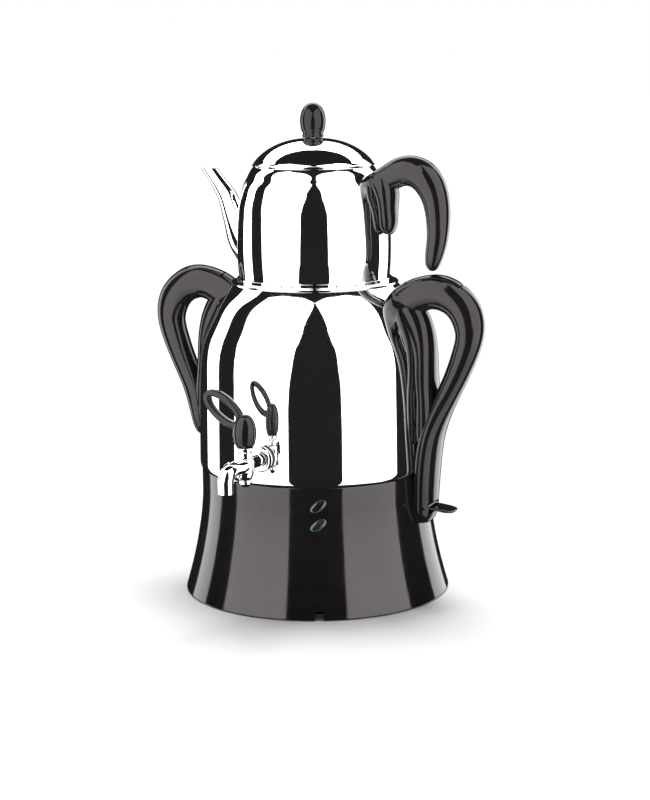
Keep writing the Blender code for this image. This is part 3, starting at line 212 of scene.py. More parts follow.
def base_radius(height):
    """Outer radius of the base at a height."""
    flare_top = BASE_HEIGHT * BASE_FLARE_SHARE
    depth = min(1.0, max(0.0, 1.0 - (height - BASE_RIM_HEIGHT) / (flare_top - BASE_RIM_HEIGHT)))
    return BASE_TOP_RADIUS + (BASE_FOOT_RADIUS - BASE_TOP_RADIUS) * depth ** BASE_FLARE_POWER


def base_side(inset=0.0, top=BASE_HEIGHT, rings=BASE_RINGS):
    """Side of the base from a height down to the rim, moved inwards."""
    heights = [top + (BASE_RIM_HEIGHT - top) * i / (rings - 1) for i in range(rings)]
    return [(base_radius(height) - inset, height) for height in heights]


def finish(name, colour, **sockets):
    """New material, its shader and its object coordinates; sockets are set on the shader itself."""
    made = bpy.data.materials.new(name)
    made.use_nodes = True
    shader = made.node_tree.nodes["Principled BSDF"]
    shader.inputs["Base Color"].default_value = (*colour, 1.0)
    for socket, value in sockets.items():
        shader.inputs[socket.replace("_", " ")].default_value = value
    place = made.node_tree.nodes.new("ShaderNodeTexCoord").outputs["Object"]
    return made, shader, place


def grain(made, place, scale, stretch=(1.0, 1.0, 1.0), detail=3.0):
    """Noise on object coordinates, stretched along some of the axes."""
    nodes, links = made.node_tree.nodes, made.node_tree.links
    mapping = nodes.new("ShaderNodeMapping")
    mapping.inputs["Scale"].default_value = stretch
    noise = nodes.new("ShaderNodeTexNoise")
    noise.inputs["Scale"].default_value = scale
    noise.inputs["Detail"].default_value = detail
    links.new(place, mapping.inputs["Vector"])
    links.new(mapping.outputs["Vector"], noise.inputs["Vector"])
    return noise.outputs["Fac"]


def ranged(made, value, low, high, target, start=0.3, end=0.7):
    """Sends a noise to a socket, spread between two numbers."""
    spread = made.node_tree.nodes.new("ShaderNodeMapRange")
    for socket, number in (("From Min", start), ("From Max", end), ("To Min", low), ("To Max", high)):
        spread.inputs[socket].default_value = number
    made.node_tree.links.new(value, spread.inputs["Value"])
    made.node_tree.links.new(spread.outputs["Result"], target)


def tinted(made, value, dark, light, target):
    """Sends a noise to a colour socket, between two colours."""
    ramp = made.node_tree.nodes.new("ShaderNodeValToRGB")
    ramp.color_ramp.elements[0].position, ramp.color_ramp.elements[1].position = 0.3, 0.7
    ramp.color_ramp.elements[0].color = (*dark, 1.0)
    ramp.color_ramp.elements[1].color = (*light, 1.0)
    made.node_tree.links.new(value, ramp.inputs["Fac"])
    made.node_tree.links.new(ramp.outputs["Color"], target)


def raised(made, value, shader, strength, distance):
    """Turns a noise into fine relief."""
    bump = made.node_tree.nodes.new("ShaderNodeBump")
    bump.inputs["Strength"].default_value = strength
    bump.inputs["Distance"].default_value = distance
    made.node_tree.links.new(value, bump.inputs["Height"])
    made.node_tree.links.new(bump.outputs["Normal"], shader.inputs["Normal"])


def gloss_black(name, shine=0.5, smoothest=0.055, roughest=0.115):
    """Polished black plastic: a faint moulding ripple, and fine wiping marks in its shine."""
    made, shader, place = finish(name, BLACK_PLASTIC, Specular_IOR_Level=shine,
        Specular_Tint=(1.0, 0.92, 0.94, 1.0))
    tinted(made, grain(made, place, 60.0), (0.0140, 0.0130, 0.0118), (0.0185, 0.0174, 0.0160),
           shader.inputs["Base Color"])
    ranged(made, grain(made, place, 240.0, (1.0, 1.0, 0.25)), smoothest, roughest,
        shader.inputs["Roughness"])
    raised(made, grain(made, place, 420.0, detail=1.0), shader, 0.03, 0.00004)
    return made


def dressed(piece, material, body, replaced=()):
    """Gives a piece its finish, hangs it on the body it rides on and hides the imported parts it replaces."""
    piece.data.materials.clear()
    piece.data.materials.append(material)
    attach(piece, body)
    if replaced:
        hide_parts(*replaced)
    return piece


def refinished(material, *nodes):
    """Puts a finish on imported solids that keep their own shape."""
    for node in nodes:
        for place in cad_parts[node].material_slots:
            place.material = material


base_black = gloss_black("base_gloss_black")
ledge_radius = BASE_TOP_RADIUS - BASE_LEDGE_WIDTH
ledge_bottom = BASE_HEIGHT - BASE_LEDGE_THICKNESS
base_shell = turned("base_shell", eased(
    base_side() + base_side(BASE_WALL, top=ledge_bottom)[::-1]
        + [(ledge_radius, ledge_bottom), (ledge_radius, BASE_HEIGHT)],
    BASE_EDGE_ROUNDING,
))
front_notch = box(
    "front_notch", (-NOTCH_WIDTH / 2, -BASE_FOOT_RADIUS - CUT_SPARE, -CUT_SPARE),
    (NOTCH_WIDTH / 2, -BASE_FOOT_RADIUS + 2 * BASE_WALL, BASE_RIM_HEIGHT + NOTCH_HEIGHT),
)
moved(front_notch, Matrix.Rotation(FRONT_TURN, 4, "Z"))

# Lamp windows: two slanted oval lenses, each in a thin bright bezel that is pressed into the front wall.
# The upper lens is smoked and the lower one sea green; a small circuit board behind them carries the lamps.
LAMP_HEIGHTS = {"upper": 0.1000, "lower": 0.0830}
LAMP_COLOURS = {"upper": (0.016, 0.015, 0.015), "lower": (0.014, 0.046, 0.044)}
LAMP_HALF_LENGTH = 0.0080
LAMP_HALF_WIDTH = 0.0042
LAMP_TILT = math.radians(35)
LAMP_PROUD = 0.0006
LAMP_DEPTH = 0.0060
BEZEL_WIDTH = 0.0006
BEZEL_DEPTH = 0.0020
LENS_CROWN = 0.0004


def lamp_place(height):
    """Frame on the front wall, with +Z out of it and +X along the slanted window."""
    out = Matrix.Rotation(FRONT_TURN, 4, "Z") @ Matrix.Translation((0.0, -base_radius(height), height))
    return out @ Matrix.Rotation(math.pi / 2, 4, "X") @ Matrix.Rotation(LAMP_TILT, 4, "Z")


def oval(name, outline, half_length, half_width, closed=True):
    """Turned piece stretched to an oval; the outline's radius 1 is the oval's rim."""
    return moved(turned(name, outline, 96, closed), Matrix.Diagonal((half_length, half_width, 1.0, 1.0)))


def lens_finish(name, colour):
    """Clear-coated coloured plastic with fine moulded ribs behind its face."""
    made, shader, place = finish(name, colour, Roughness=0.08, Coat_Weight=0.6, Coat_Roughness=0.03)
    tinted(made, grain(made, place, 900.0, (1.0, 1.0, 0.1)), tuple(c * 0.45 for c in colour),
           tuple(min(1.0, c * 1.5) for c in colour), shader.inputs["Base Color"])
    return made


bezel_finish, bezel_shader, bezel_place = finish("bezel_plate", (0.13, 0.125, 0.12), Metallic=1.0)
ranged(bezel_finish, grain(bezel_finish, bezel_place, 500.0), 0.10, 0.20,
    bezel_shader.inputs["Roughness"])
lamp_holes = []
for level, height in LAMP_HEIGHTS.items():
    inner_length, inner_width = LAMP_HALF_LENGTH - BEZEL_WIDTH, LAMP_HALF_WIDTH - BEZEL_WIDTH
    lens = oval("lamp_lens_" + level, smooth_line(
        [(0.0, LAMP_PROUD + LENS_CROWN), (0.55, LAMP_PROUD + LENS_CROWN * 0.7), (0.97, LAMP_PROUD * 0.4)],
        12)
        + [(0.97, -LAMP_DEPTH), (0.0, -LAMP_DEPTH)], inner_length, inner_width, closed=False)
    dressed(moved(lens, lamp_place(height)), lens_finish("lens_" + level, LAMP_COLOURS[level]), "stand",
            ["lamp_window_" + level])
    inner_share = inner_width / LAMP_HALF_WIDTH
    bezel = oval("lamp_bezel_" + level, eased(
        [(1.0, LAMP_PROUD * 0.7), (1.0, -BEZEL_DEPTH), (inner_share, -BEZEL_DEPTH),
        (inner_share, LAMP_PROUD * 0.7)],
        0.0002), LAMP_HALF_LENGTH, LAMP_HALF_WIDTH)
    dressed(moved(bezel, lamp_place(height)), bezel_finish, "stand")
    hole = oval("lamp_hole_" + level,
        [(0.0, LAMP_DEPTH), (1.0, LAMP_DEPTH), (1.0, -2 * LAMP_DEPTH), (0.0, -2 * LAMP_DEPTH)],
                LAMP_HALF_LENGTH + FIT_GAP / 2, LAMP_HALF_WIDTH + FIT_GAP / 2, closed=False)
    lamp_holes.append(moved(hole, lamp_place(height)))
board_finish, board_shader, board_place = finish("lamp_board_green", (0.03, 0.12, 0.06), Roughness=0.42,
    Coat_Weight=0.3)
tinted(board_finish, grain(board_finish, board_place, 700.0), (0.02, 0.09, 0.04), (0.04, 0.15, 0.08),
       board_shader.inputs["Base Color"])
refinished(board_finish, "lamp_board")

# Gland: a tapered rubber bush in the rear wall, through which the mains lead enters the base.
# It is moulded with three grip ribs, and its bore is plugged, because no lead is shown. With it the base's last holes
# are cut, among them the slot for the tail of the switch lever.
GLAND_HEIGHT = 0.022
GLAND_RADIUS = 0.0080
GLAND_NECK_RADIUS = 0.0060
GLAND_PROUD = 0.0038
GLAND_RIB_DEPTH = 0.0004
SWITCH_AXIS = Vector((0.1158, 0.0, 0.0869))
SWITCH_TAIL_REACH = 0.0100
SWITCH_TAIL_HALF_WIDTH = 0.0025
SWITCH_SLOT_HALF_HEIGHT = 0.0052

rubber, rubber_shader, rubber_place = finish("black_rubber", (0.02, 0.02, 0.02), Sheen_Weight=0.15,
    Sheen_Roughness=0.6)
tinted(rubber, grain(rubber, rubber_place, 300.0), (0.016, 0.016, 0.016), (0.030, 0.030, 0.029),
       rubber_shader.inputs["Base Color"])
ranged(rubber, grain(rubber, rubber_place, 1200.0), 0.62, 0.82, rubber_shader.inputs["Roughness"])
raised(rubber, grain(rubber, rubber_place, 1800.0), rubber_shader, 0.25, 0.00008)
gland_wall = base_radius(GLAND_HEIGHT)
gland_outline = [(0.0, -2 * BASE_WALL), (GLAND_NECK_RADIUS, -2 * BASE_WALL),
    (GLAND_NECK_RADIUS, -FIT_GAP)]
for rib in range(4):
    outward = GLAND_PROUD * rib / 4
    taper = GLAND_RADIUS * (1 - 0.05 * rib)
    gland_outline += [(taper, outward), (taper, outward + GLAND_PROUD * 0.15),
                      (taper - GLAND_RIB_DEPTH, outward + GLAND_PROUD * 0.18),
                      (taper - GLAND_RIB_DEPTH, outward + GLAND_PROUD * 0.24)]
gland_outline += [(0.0036, GLAND_PROUD), (0.0034, GLAND_PROUD - 0.0014), (0.0, GLAND_PROUD - 0.0014)]
gland = turned("lead_gland", gland_outline, 64, closed=False)
gland_place = Matrix.Translation((0.0, gland_wall + FIT_GAP, GLAND_HEIGHT)) @ Matrix.Rotation(-math.pi
    / 2, 4, "X")
dressed(moved(gland, gland_place), rubber, "stand", ["cord_gland"])
gland_hole = rod("gland_hole", (0.0, gland_wall - 4 * BASE_WALL, GLAND_HEIGHT),
    (0.0, gland_wall + 4 * BASE_WALL, GLAND_HEIGHT),
                 GLAND_NECK_RADIUS + FIT_GAP)
tail_room = (SWITCH_TAIL_HALF_WIDTH + RUN_GAP, SWITCH_SLOT_HALF_HEIGHT - RUN_GAP)
tail_slot_low = SWITCH_AXIS - Vector((SWITCH_TAIL_REACH + BASE_WALL, *tail_room))
tail_slot_high = SWITCH_AXIS + Vector((0.0, *tail_room))
lever_slot = box("lever_slot", tail_slot_low, tail_slot_high)
worked(base_shell, "DIFFERENCE", front_notch, gland_hole, lever_slot, *lamp_holes)
dressed(base_shell, base_black, "stand", ["base_housing"])

# Bottom cover: a moulded satin black disc with a centre foot, held by four cross-head screws.
# Four rubber feet are glued to it, so that the samovar stands level and doesn't slide.
COVER_LIFT = 0.003
COVER_THICKNESS = 0.0025
CENTRE_FOOT_RADIUS = 0.016
FOOT_RADIUS = 0.0085
FOOT_CIRCLE_RADIUS = 0.098
FOOT_COUNT = 4
FOOT_FIRST_ANGLE = math.radians(45)
BOSS_RADIUS = 0.0048
BOSS_HEIGHT = 0.014
SCREW_HEAD_RADIUS = 0.0033
SCREW_HEAD_HEIGHT = 0.0018
SCREW_SHANK_RADIUS = 0.0016
SCREW_LENGTH = 0.012
CROSS_WIDTH = 0.0009
CROSS_REACH = 0.0020


def satin_black(name):
    """Fine spark-eroded black plastic."""
    made, shader, place = finish(name, (0.02, 0.0195, 0.019))
    tinted(made, grain(made, place, 90.0), (0.017, 0.0165, 0.016), (0.025, 0.0245, 0.024),
        shader.inputs["Base Color"])
    ranged(made, grain(made, place, 800.0), 0.34, 0.50, shader.inputs["Roughness"])
    raised(made, grain(made, place, 2200.0), shader, 0.3, 0.00005)
    return made


def zinc_plate(name):
    """Bright zinc on small steel parts."""
    made, shader, place = finish(name, (0.60, 0.60, 0.59), Metallic=1.0)
    tinted(made, grain(made, place, 350.0), (0.50, 0.50, 0.49), (0.68, 0.68, 0.66),
        shader.inputs["Base Color"])
    ranged(made, grain(made, place, 900.0), 0.22, 0.42, shader.inputs["Roughness"])
    return made


def new_tree(name, **inputs):
    """Geometry node tree with named inputs; returns it with its input node and its inputs' identifiers."""
    tree = bpy.data.node_groups.new(name, "GeometryNodeTree")
    tree.interface.new_socket("Geometry", in_out="INPUT", socket_type="NodeSocketGeometry")
    tree.interface.new_socket("Geometry", in_out="OUTPUT", socket_type="NodeSocketGeometry")
    keys = {}
    for label, kind in inputs.items():
        keys[label] = tree.interface.new_socket(label, in_out="INPUT", socket_type="NodeSocket"
            + kind).identifier
    return tree, tree.nodes.new("NodeGroupInput"), keys


def add(tree, kind, **links):
    """Node of a kind, with sockets linked by name or given a value."""
    node = tree.nodes.new(kind)
    for socket, source in links.items():
        target = node.inputs[socket.replace("_", " ")]
        if isinstance(source, bpy.types.NodeSocket):
            tree.links.new(source, target)
        else:
            target.default_value = source
    return node


def grown(name, tree, keys, values, start=None):
    """Plain mesh object grown by a geometry node tree from a starting mesh."""
    piece = bpy.data.objects.new(name, start or bpy.data.meshes.new(name))
    bpy.context.scene.collection.objects.link(piece)
    modifier = piece.modifiers.new("grow", "NODES")
    modifier.node_group = tree
    for label, value in values.items():
        modifier[keys[label]] = value
    return plain_mesh(piece)


# Ring pattern: copies of one small piece, evenly spaced round a circle and turned outwards
ring_tree, ring_in, ring_keys = new_tree(
    "copies_round_a_circle", Count="Int", Circle_Radius="Float", Height="Float", First_Angle="Float",
        Piece="Object",
    Finish="Material",
)
ring_circle = add(ring_tree, "GeometryNodeMeshCircle", Vertices=ring_in.outputs["Count"],
                  Radius=ring_in.outputs["Circle_Radius"])
ring_lift_to = add(ring_tree, "ShaderNodeCombineXYZ", Z=ring_in.outputs["Height"])
ring_turn_to = add(ring_tree, "ShaderNodeCombineXYZ", Z=ring_in.outputs["First_Angle"])
ring_placed = add(ring_tree, "GeometryNodeTransform", Geometry=ring_circle.outputs["Mesh"],
                  Translation=ring_lift_to.outputs[0], Rotation=ring_turn_to.outputs[0])
ring_spot = add(ring_tree, "ShaderNodeSeparateXYZ")
ring_tree.links.new(add(ring_tree, "GeometryNodeInputPosition").outputs[0], ring_spot.inputs[0])
ring_angle = add(ring_tree, "ShaderNodeMath")
ring_angle.operation = "ARCTAN2"
ring_tree.links.new(ring_spot.outputs["Y"], ring_angle.inputs[0])
ring_tree.links.new(ring_spot.outputs["X"], ring_angle.inputs[1])
ring_facing = add(ring_tree, "ShaderNodeCombineXYZ", Z=ring_angle.outputs[0])
ring_piece = add(ring_tree, "GeometryNodeObjectInfo", Object=ring_in.outputs["Piece"])
ring_copies = add(ring_tree, "GeometryNodeInstanceOnPoints", Points=ring_placed.outputs[0],
                  Instance=ring_piece.outputs["Geometry"], Rotation=ring_facing.outputs[0])
ring_real = add(ring_tree, "GeometryNodeRealizeInstances", Geometry=ring_copies.outputs[0])
ring_coloured = add(ring_tree, "GeometryNodeSetMaterial", Geometry=ring_real.outputs[0],
    Material=ring_in.outputs["Finish"])
ring_tree.links.new(ring_coloured.outputs[0], ring_tree.nodes.new("NodeGroupOutput").inputs[0])


def copied_round(name, piece, count, radius, height, first_angle, material):
    """Copies of a piece round a circle as one mesh; the piece itself is thrown away."""
    made = grown(name, ring_tree, ring_keys, {
        "Count": count, "Circle_Radius": radius, "Height": height, "First_Angle": first_angle,
            "Piece": piece,
        "Finish": material,
    })
    bpy.data.objects.remove(piece, do_unlink=True)
    return made


cover_black = satin_black("cover_satin_black")
cover_radius = base_radius(COVER_LIFT + COVER_THICKNESS) - BASE_WALL - 0.0005
cover_top = COVER_LIFT + COVER_THICKNESS
bottom_plate = turned("bottom_plate", eased(
    [(0.0, cover_top), (cover_radius, cover_top), (cover_radius, COVER_LIFT),
    (CENTRE_FOOT_RADIUS + COVER_LIFT, COVER_LIFT),
     (CENTRE_FOOT_RADIUS, 0.0), (0.0, 0.0)], 0.0008, closed=False), 128, closed=False)
boss_circle = base_radius(cover_top + FIT_GAP + BOSS_HEIGHT) - BASE_WALL / 2 - BOSS_RADIUS
zinc = zinc_plate("bright_zinc")
screw_holes = copied_round(
    "screw_holes", rod("screw_hole", (0, 0, -CUT_SPARE), (0, 0, COVER_THICKNESS + CUT_SPARE),
        SCREW_SHANK_RADIUS + FIT_GAP, 24),
    FOOT_COUNT, boss_circle, COVER_LIFT, FOOT_FIRST_ANGLE, zinc)
worked(bottom_plate, "DIFFERENCE", screw_holes)
dressed(bottom_plate, cover_black, "stand", ["bottom_cover"])
foot_height = COVER_LIFT - FIT_GAP
foot = turned("foot", eased(
    [(0.0, 0.0), (FOOT_RADIUS, 0.0), (FOOT_RADIUS * 0.92, -foot_height),
    (FOOT_RADIUS * 0.62, -foot_height),
     (FOOT_RADIUS * 0.58, -foot_height * 0.8), (FOOT_RADIUS * 0.3, -foot_height * 0.8),
     (FOOT_RADIUS * 0.26, -foot_height),
     (0.0, -foot_height)], 0.0003, closed=False), 48, closed=False)
feet = copied_round("rubber_feet", foot, FOOT_COUNT, FOOT_CIRCLE_RADIUS, COVER_LIFT - FIT_GAP,
    FOOT_FIRST_ANGLE, rubber)
dressed(feet, rubber, "stand", [f"rubber_foot_{i}" for i in range(1, 5)])


def cross_screw(name, head_radius, head_height, shank_radius, shank_length):
    """Domed cross-head screw that points along +Z, with the outer face of its head at the origin."""
    made = turned(name, smooth_line(
        [(0.0, 0.0), (head_radius * 0.6, head_height * 0.10), (head_radius, head_height * 0.55)], 8)
        + [(head_radius, head_height), (shank_radius, head_height),
            (shank_radius, head_height + shank_length * 0.93),
           (shank_radius * 0.4, head_height + shank_length), (0.0, head_height + shank_length)], 32,
           closed=False)
    depth = head_height * 0.6
    return worked(
        made, "DIFFERENCE",
        box(name + "_slot", (-CROSS_REACH, -CROSS_WIDTH / 2, -depth),
            (CROSS_REACH, CROSS_WIDTH / 2, depth)),
        box(name + "_cross", (-CROSS_WIDTH / 2, -CROSS_REACH, -depth),
            (CROSS_WIDTH / 2, CROSS_REACH, depth)),
    )


bottom_screws = copied_round(
    "bottom_screws", cross_screw("bottom_screw", SCREW_HEAD_RADIUS, SCREW_HEAD_HEIGHT, SCREW_SHANK_RADIUS,
        SCREW_LENGTH),
    FOOT_COUNT, boss_circle, COVER_LIFT - FIT_GAP - SCREW_HEAD_HEIGHT, FOOT_FIRST_ANGLE, zinc)
dressed(bottom_screws, zinc, "stand", [f"bottom_screw_{i}" for i in range(1, 5)])

# Tank: drawn and polished stainless steel, with a rounded shoulder, a turned-in lip and a hemmed foot.
# It sits on the base's ledge, and a pan welded in near its foot closes it over the heater.
TANK_BOTTOM = BASE_HEIGHT + FIT_GAP
TANK_RADIUS = 0.1085
TANK_MOUTH_RADIUS = 0.0768
TANK_HEIGHT = 0.1695
TANK_TOP = TANK_BOTTOM + TANK_HEIGHT
TANK_WALL = 0.0008
TANK_LIP_WIDTH = 0.0035
TANK_FLOOR_LIFT = 0.0057
TANK_FLOOR_RIM = 0.005
TANK_SIDE_SHARES = (
    (0.0, 1.0), (0.309, 0.926), (0.599, 0.822), (0.83, 0.719), (0.93, 0.625), (0.965, 0.50),
    (0.985, 0.27), (1.0, 0.035),
)
TANK_RINGS = 110


def tank_side(grow=0.0):
    """Side of the tank from mouth to foot, moved outwards."""
    spread = TANK_RADIUS - TANK_MOUTH_RADIUS
    points = [(TANK_MOUTH_RADIUS + spread * out, TANK_BOTTOM + TANK_HEIGHT * up) for out,
        up in TANK_SIDE_SHARES]
    line = smooth_line(points, TANK_RINGS)
    return [(radius + grow, height) for radius, height in line]


def polished_steel(name):
    """Mirror-polished steel with hair-fine turning lines and a trace of handling in its shine."""
    made, shader, place = finish(name, (0.86, 0.86, 0.865), Metallic=1.0)
    tinted(made, grain(made, place, 18.0), (0.84, 0.84, 0.85), (0.89, 0.89, 0.885),
        shader.inputs["Base Color"])
    ranged(made, grain(made, place, 40.0, (1.0, 1.0, 60.0)), 0.018, 0.045, shader.inputs["Roughness"])
    raised(made, grain(made, place, 30.0, (1.0, 1.0, 90.0), detail=1.0), shader, 0.012, 0.00001)
    return made


tank_steel = polished_steel("tank_polished_steel")
tank_lip = TANK_MOUTH_RADIUS - TANK_LIP_WIDTH
hem = [(TANK_RADIUS - 0.0002, TANK_BOTTOM + 0.0030), (TANK_RADIUS - 0.0009, TANK_BOTTOM + 0.0012),
       (TANK_RADIUS - 0.0017, TANK_BOTTOM), (TANK_RADIUS - 0.0024, TANK_BOTTOM)]
inner_side = [point for point in tank_side(-TANK_WALL)[::-1] if TANK_BOTTOM + 0.004 < point[1] < TANK_TOP
    - 0.002]
tank = turned("tank", tank_side() + hem + [(TANK_RADIUS - 0.0024, TANK_BOTTOM + 0.002)] + inner_side + [
    (TANK_MOUTH_RADIUS - TANK_WALL, TANK_TOP - TANK_WALL), (tank_lip, TANK_TOP - TANK_WALL),
    (tank_lip, TANK_TOP)])
TAP_HEIGHT = 0.1423
TAP_SHANK_RADIUS = 0.0065
HANDLE_SCREW_SHARES = {"lower": 0.20, "upper": 0.58}
HANDLE_SCREW_RADIUS = 0.002
shank_hole = rod("shank_hole", (0.0, -TANK_RADIUS * 0.8, TAP_HEIGHT),
    (0.0, -TANK_RADIUS * 1.2, TAP_HEIGHT),
                 TAP_SHANK_RADIUS + FIT_GAP)
handle_holes = [
    rod(f"handle_hole_{side}_{level}", (side * TANK_RADIUS * 0.8, 0.0, TANK_BOTTOM + TANK_HEIGHT * share),
        (side * TANK_RADIUS * 1.2, 0.0, TANK_BOTTOM + TANK_HEIGHT * share), HANDLE_SCREW_RADIUS + FIT_GAP)
    for side in (-1, 1) for level, share in HANDLE_SCREW_SHARES.items()
]
worked(tank, "DIFFERENCE", shank_hole, *handle_holes)
dressed(tank, tank_steel, "stand", ["tank_shell"])
floor_bottom = TANK_BOTTOM + TANK_FLOOR_LIFT
pan_radius = TANK_RADIUS - TANK_WALL - FIT_GAP
pan = turned("tank_pan", eased(
    [(0.0, floor_bottom + 0.001), (pan_radius - 0.001, floor_bottom + 0.001),
    (pan_radius - 0.001, floor_bottom + TANK_FLOOR_RIM),
     (pan_radius, floor_bottom + TANK_FLOOR_RIM), (pan_radius, floor_bottom), (0.0, floor_bottom)],
     0.0008, closed=False),
    128, closed=False)
dressed(pan, tank_steel, "stand", ["tank_floor"])

# Heater: a tubular element brazed in a ring under the pan, with two upright legs for its terminals.
# Two button thermostats are clamped to the middle of the pan.
ELEMENT_RING_RADIUS = 0.062
ELEMENT_TUBE_RADIUS = 0.004
ELEMENT_LEG_LENGTH = 0.016
ELEMENT_ARC = math.radians(325)
ELEMENT_POINTS = 72

tube_tree, tube_in, tube_keys = new_tree("tube_along_a_path", Tube_Radius="Float", Sides="Int",
    Finish="Material")
tube_path = add(tube_tree, "GeometryNodeMeshToCurve", Mesh=tube_in.outputs["Geometry"])
tube_section = add(tube_tree, "GeometryNodeCurvePrimitiveCircle", Resolution=tube_in.outputs["Sides"],
                   Radius=tube_in.outputs["Tube_Radius"])
tube_skin = add(tube_tree, "GeometryNodeCurveToMesh", Curve=tube_path.outputs[0],
                Profile_Curve=tube_section.outputs["Curve"], Fill_Caps=True)
tube_coloured = add(tube_tree, "GeometryNodeSetMaterial", Geometry=tube_skin.outputs[0],
    Material=tube_in.outputs["Finish"])
tube_tree.links.new(tube_coloured.outputs[0], tube_tree.nodes.new("NodeGroupOutput").inputs[0])

element_finish, element_shader, element_place = finish("element_sheath", (0.20, 0.18, 0.16), Metallic=1.0)
tinted(element_finish, grain(element_finish, element_place, 45.0), (0.10, 0.085, 0.075),
    (0.30, 0.27, 0.24),
       element_shader.inputs["Base Color"])
ranged(element_finish, grain(element_finish, element_place, 160.0), 0.35, 0.6,
    element_shader.inputs["Roughness"])
element_height = floor_bottom - FIT_GAP - ELEMENT_TUBE_RADIUS
element_line = [
    (ELEMENT_RING_RADIUS * math.cos(ELEMENT_ARC * i / (ELEMENT_POINTS - 1)),
     ELEMENT_RING_RADIUS * math.sin(ELEMENT_ARC * i / (ELEMENT_POINTS - 1)), element_height)
    for i in range(ELEMENT_POINTS)
]
legs = [(*element_line[end][:2], element_height - ELEMENT_LEG_LENGTH) for end in (0, -1)]
element_line = [legs[0], *element_line, legs[1]]
element_mesh = bpy.data.meshes.new("element_path")
element_mesh.from_pydata(element_line, [(i, i + 1) for i in range(len(element_line) - 1)], [])
element = grown("element_tube", tube_tree, tube_keys,
                {"Tube_Radius": ELEMENT_TUBE_RADIUS, "Sides": 20, "Finish": element_finish}, element_mesh)
dressed(element, element_finish, "stand", ["heating_element"])
refinished(zinc, "thermostat_1", "thermostat_2")

# Carrying handles: two ears moulded in gloss black plastic, each with a saddle that hugs the tank.
# The right one runs on down over the base. A cap strip is clipped into the crest of each arch over its screws.
HANDLE_STAND = 0.0012
HANDLE_REACH = 0.0572
GRIP_HALF_THICKNESS = 0.0125
GRIP_HALF_WIDTH = 0.0125
CAP_DEPTH = 0.0032
CAP_HALF_WIDTH = 0.0078
CAP_GAP = 0.0003
ARCH_SHARES = (
    (-0.432, 0.904, 1.12, 0.96), (-0.184, 0.945, 1.28, 1.00), (0.064, 0.976, 1.24, 1.00),
    (0.303, 0.976, 1.28, 1.00), (0.506, 0.945, 1.24, 1.00), (0.665, 0.892, 1.22, 1.00),
    (0.750, 0.821, 1.14, 1.00), (0.762, 0.753, 1.02, 1.00), (0.705, 0.674, 0.95, 1.00),
    (0.535, 0.528, 0.84, 1.00), (0.340, 0.390, 0.80, 1.16), (0.129, 0.202, 0.80, 1.58),
)
SADDLE_SHARES = (
    (0.055, 0.17, 0.70, 1.40), (0.066, 0.225, 0.76, 1.43),
    (0.07, 0.284, 0.80, 1.44), (0.062, 0.431, 0.74, 1.44), (0.037, 0.520, 0.78, 1.36),
    (0.028, 0.609, 0.79, 1.28), (-0.005, 0.697, 0.89, 1.18), (-0.085, 0.773, 1.08, 1.08),
    (-0.200, 0.838, 1.20, 1.00), (-0.320, 0.892, 1.12, 0.94),
)
LEFT_END_SHARES = ((0.100, 0.155, 0.74, 1.36), (0.070, 0.128, 0.56, 0.96), (0.050, 0.112, 0.25, 0.42))
RIGHT_WALL_SHARES = ((0.081, 0.119, 0.82, 1.62), (0.051, 0.019, 0.82, 1.62))
RIGHT_END_SHARES = (
    (0.021, 0.790, 0.82, 1.50), (0.005, 0.687, 0.80, 1.34), (-0.003, 0.630, 0.60, 1.00),
    (-0.005, 0.604, 0.12, 0.24),
)
CAP_SPAN = (1, 4)
GRIP_SIDES = 48
RING_RADIUS = 0.0774
RING_BEAD_HEIGHT = 0.0027
RISER_HEIGHT = 0.0032
RING_BOTTOM = TANK_TOP + FIT_GAP
RING_TOP = RING_BOTTOM + RING_BEAD_HEIGHT + RISER_HEIGHT


def on_tank(shares):
    """Handle stations whose heights are shares of the tank's height."""
    return [(TANK_RADIUS + HANDLE_STAND + HANDLE_REACH * out, TANK_BOTTOM + TANK_HEIGHT * up,
             GRIP_HALF_THICKNESS * thick, GRIP_HALF_WIDTH * wide) for out, up, thick, wide in shares]


def on_base(shares):
    """Handle stations whose heights are shares of the base's height."""
    return [(TANK_RADIUS + HANDLE_STAND + HANDLE_REACH * out, BASE_HEIGHT * up,
             GRIP_HALF_THICKNESS * thick, GRIP_HALF_WIDTH * wide)
            for out, up, thick, wide in shares]


def ring_of(centre, across, thick, wide, squareness, sides):
    """Rounded section about a centre: thick lies along across, wide along Y."""
    points = []
    for side in range(sides):
        angle = math.tau * side / sides
        out = math.copysign(abs(math.cos(angle)) ** (2 / squareness), math.cos(angle))
        aside = math.copysign(abs(math.sin(angle)) ** (2 / squareness), math.sin(angle))
        points.append(tuple(centre + across * thick * out + Vector((0.0, wide * aside, 0.0))))
    return points


def lofted(name, stations, rings, sides=GRIP_SIDES, squareness=2.3):
    """Piece lofted along stations of (x, z, half thickness, half width) in the XZ plane."""
    line = smooth_line(stations, rings)
    points, faces = [], []
    for i, (x, z, thick, wide) in enumerate(line):
        ahead, behind = line[min(i + 1, rings - 1)], line[max(i - 1, 0)]
        along = Vector((ahead[0] - behind[0], 0.0, ahead[1] - behind[1])).normalized()
        points += ring_of(Vector((x, 0.0, z)), Vector((along.z, 0.0, -along.x)), thick, wide, squareness,
            sides)
    for i in range(rings - 1):
        for side in range(sides):
            after = (side + 1) % sides
            faces.append((i * sides + side, i * sides + after, (i + 1) * sides + after, (i + 1) * sides
                + side))
    faces.append(tuple(range(sides)))
    faces.append(tuple(range((rings - 1) * sides, rings * sides)))
    return made_of(name, points, faces)


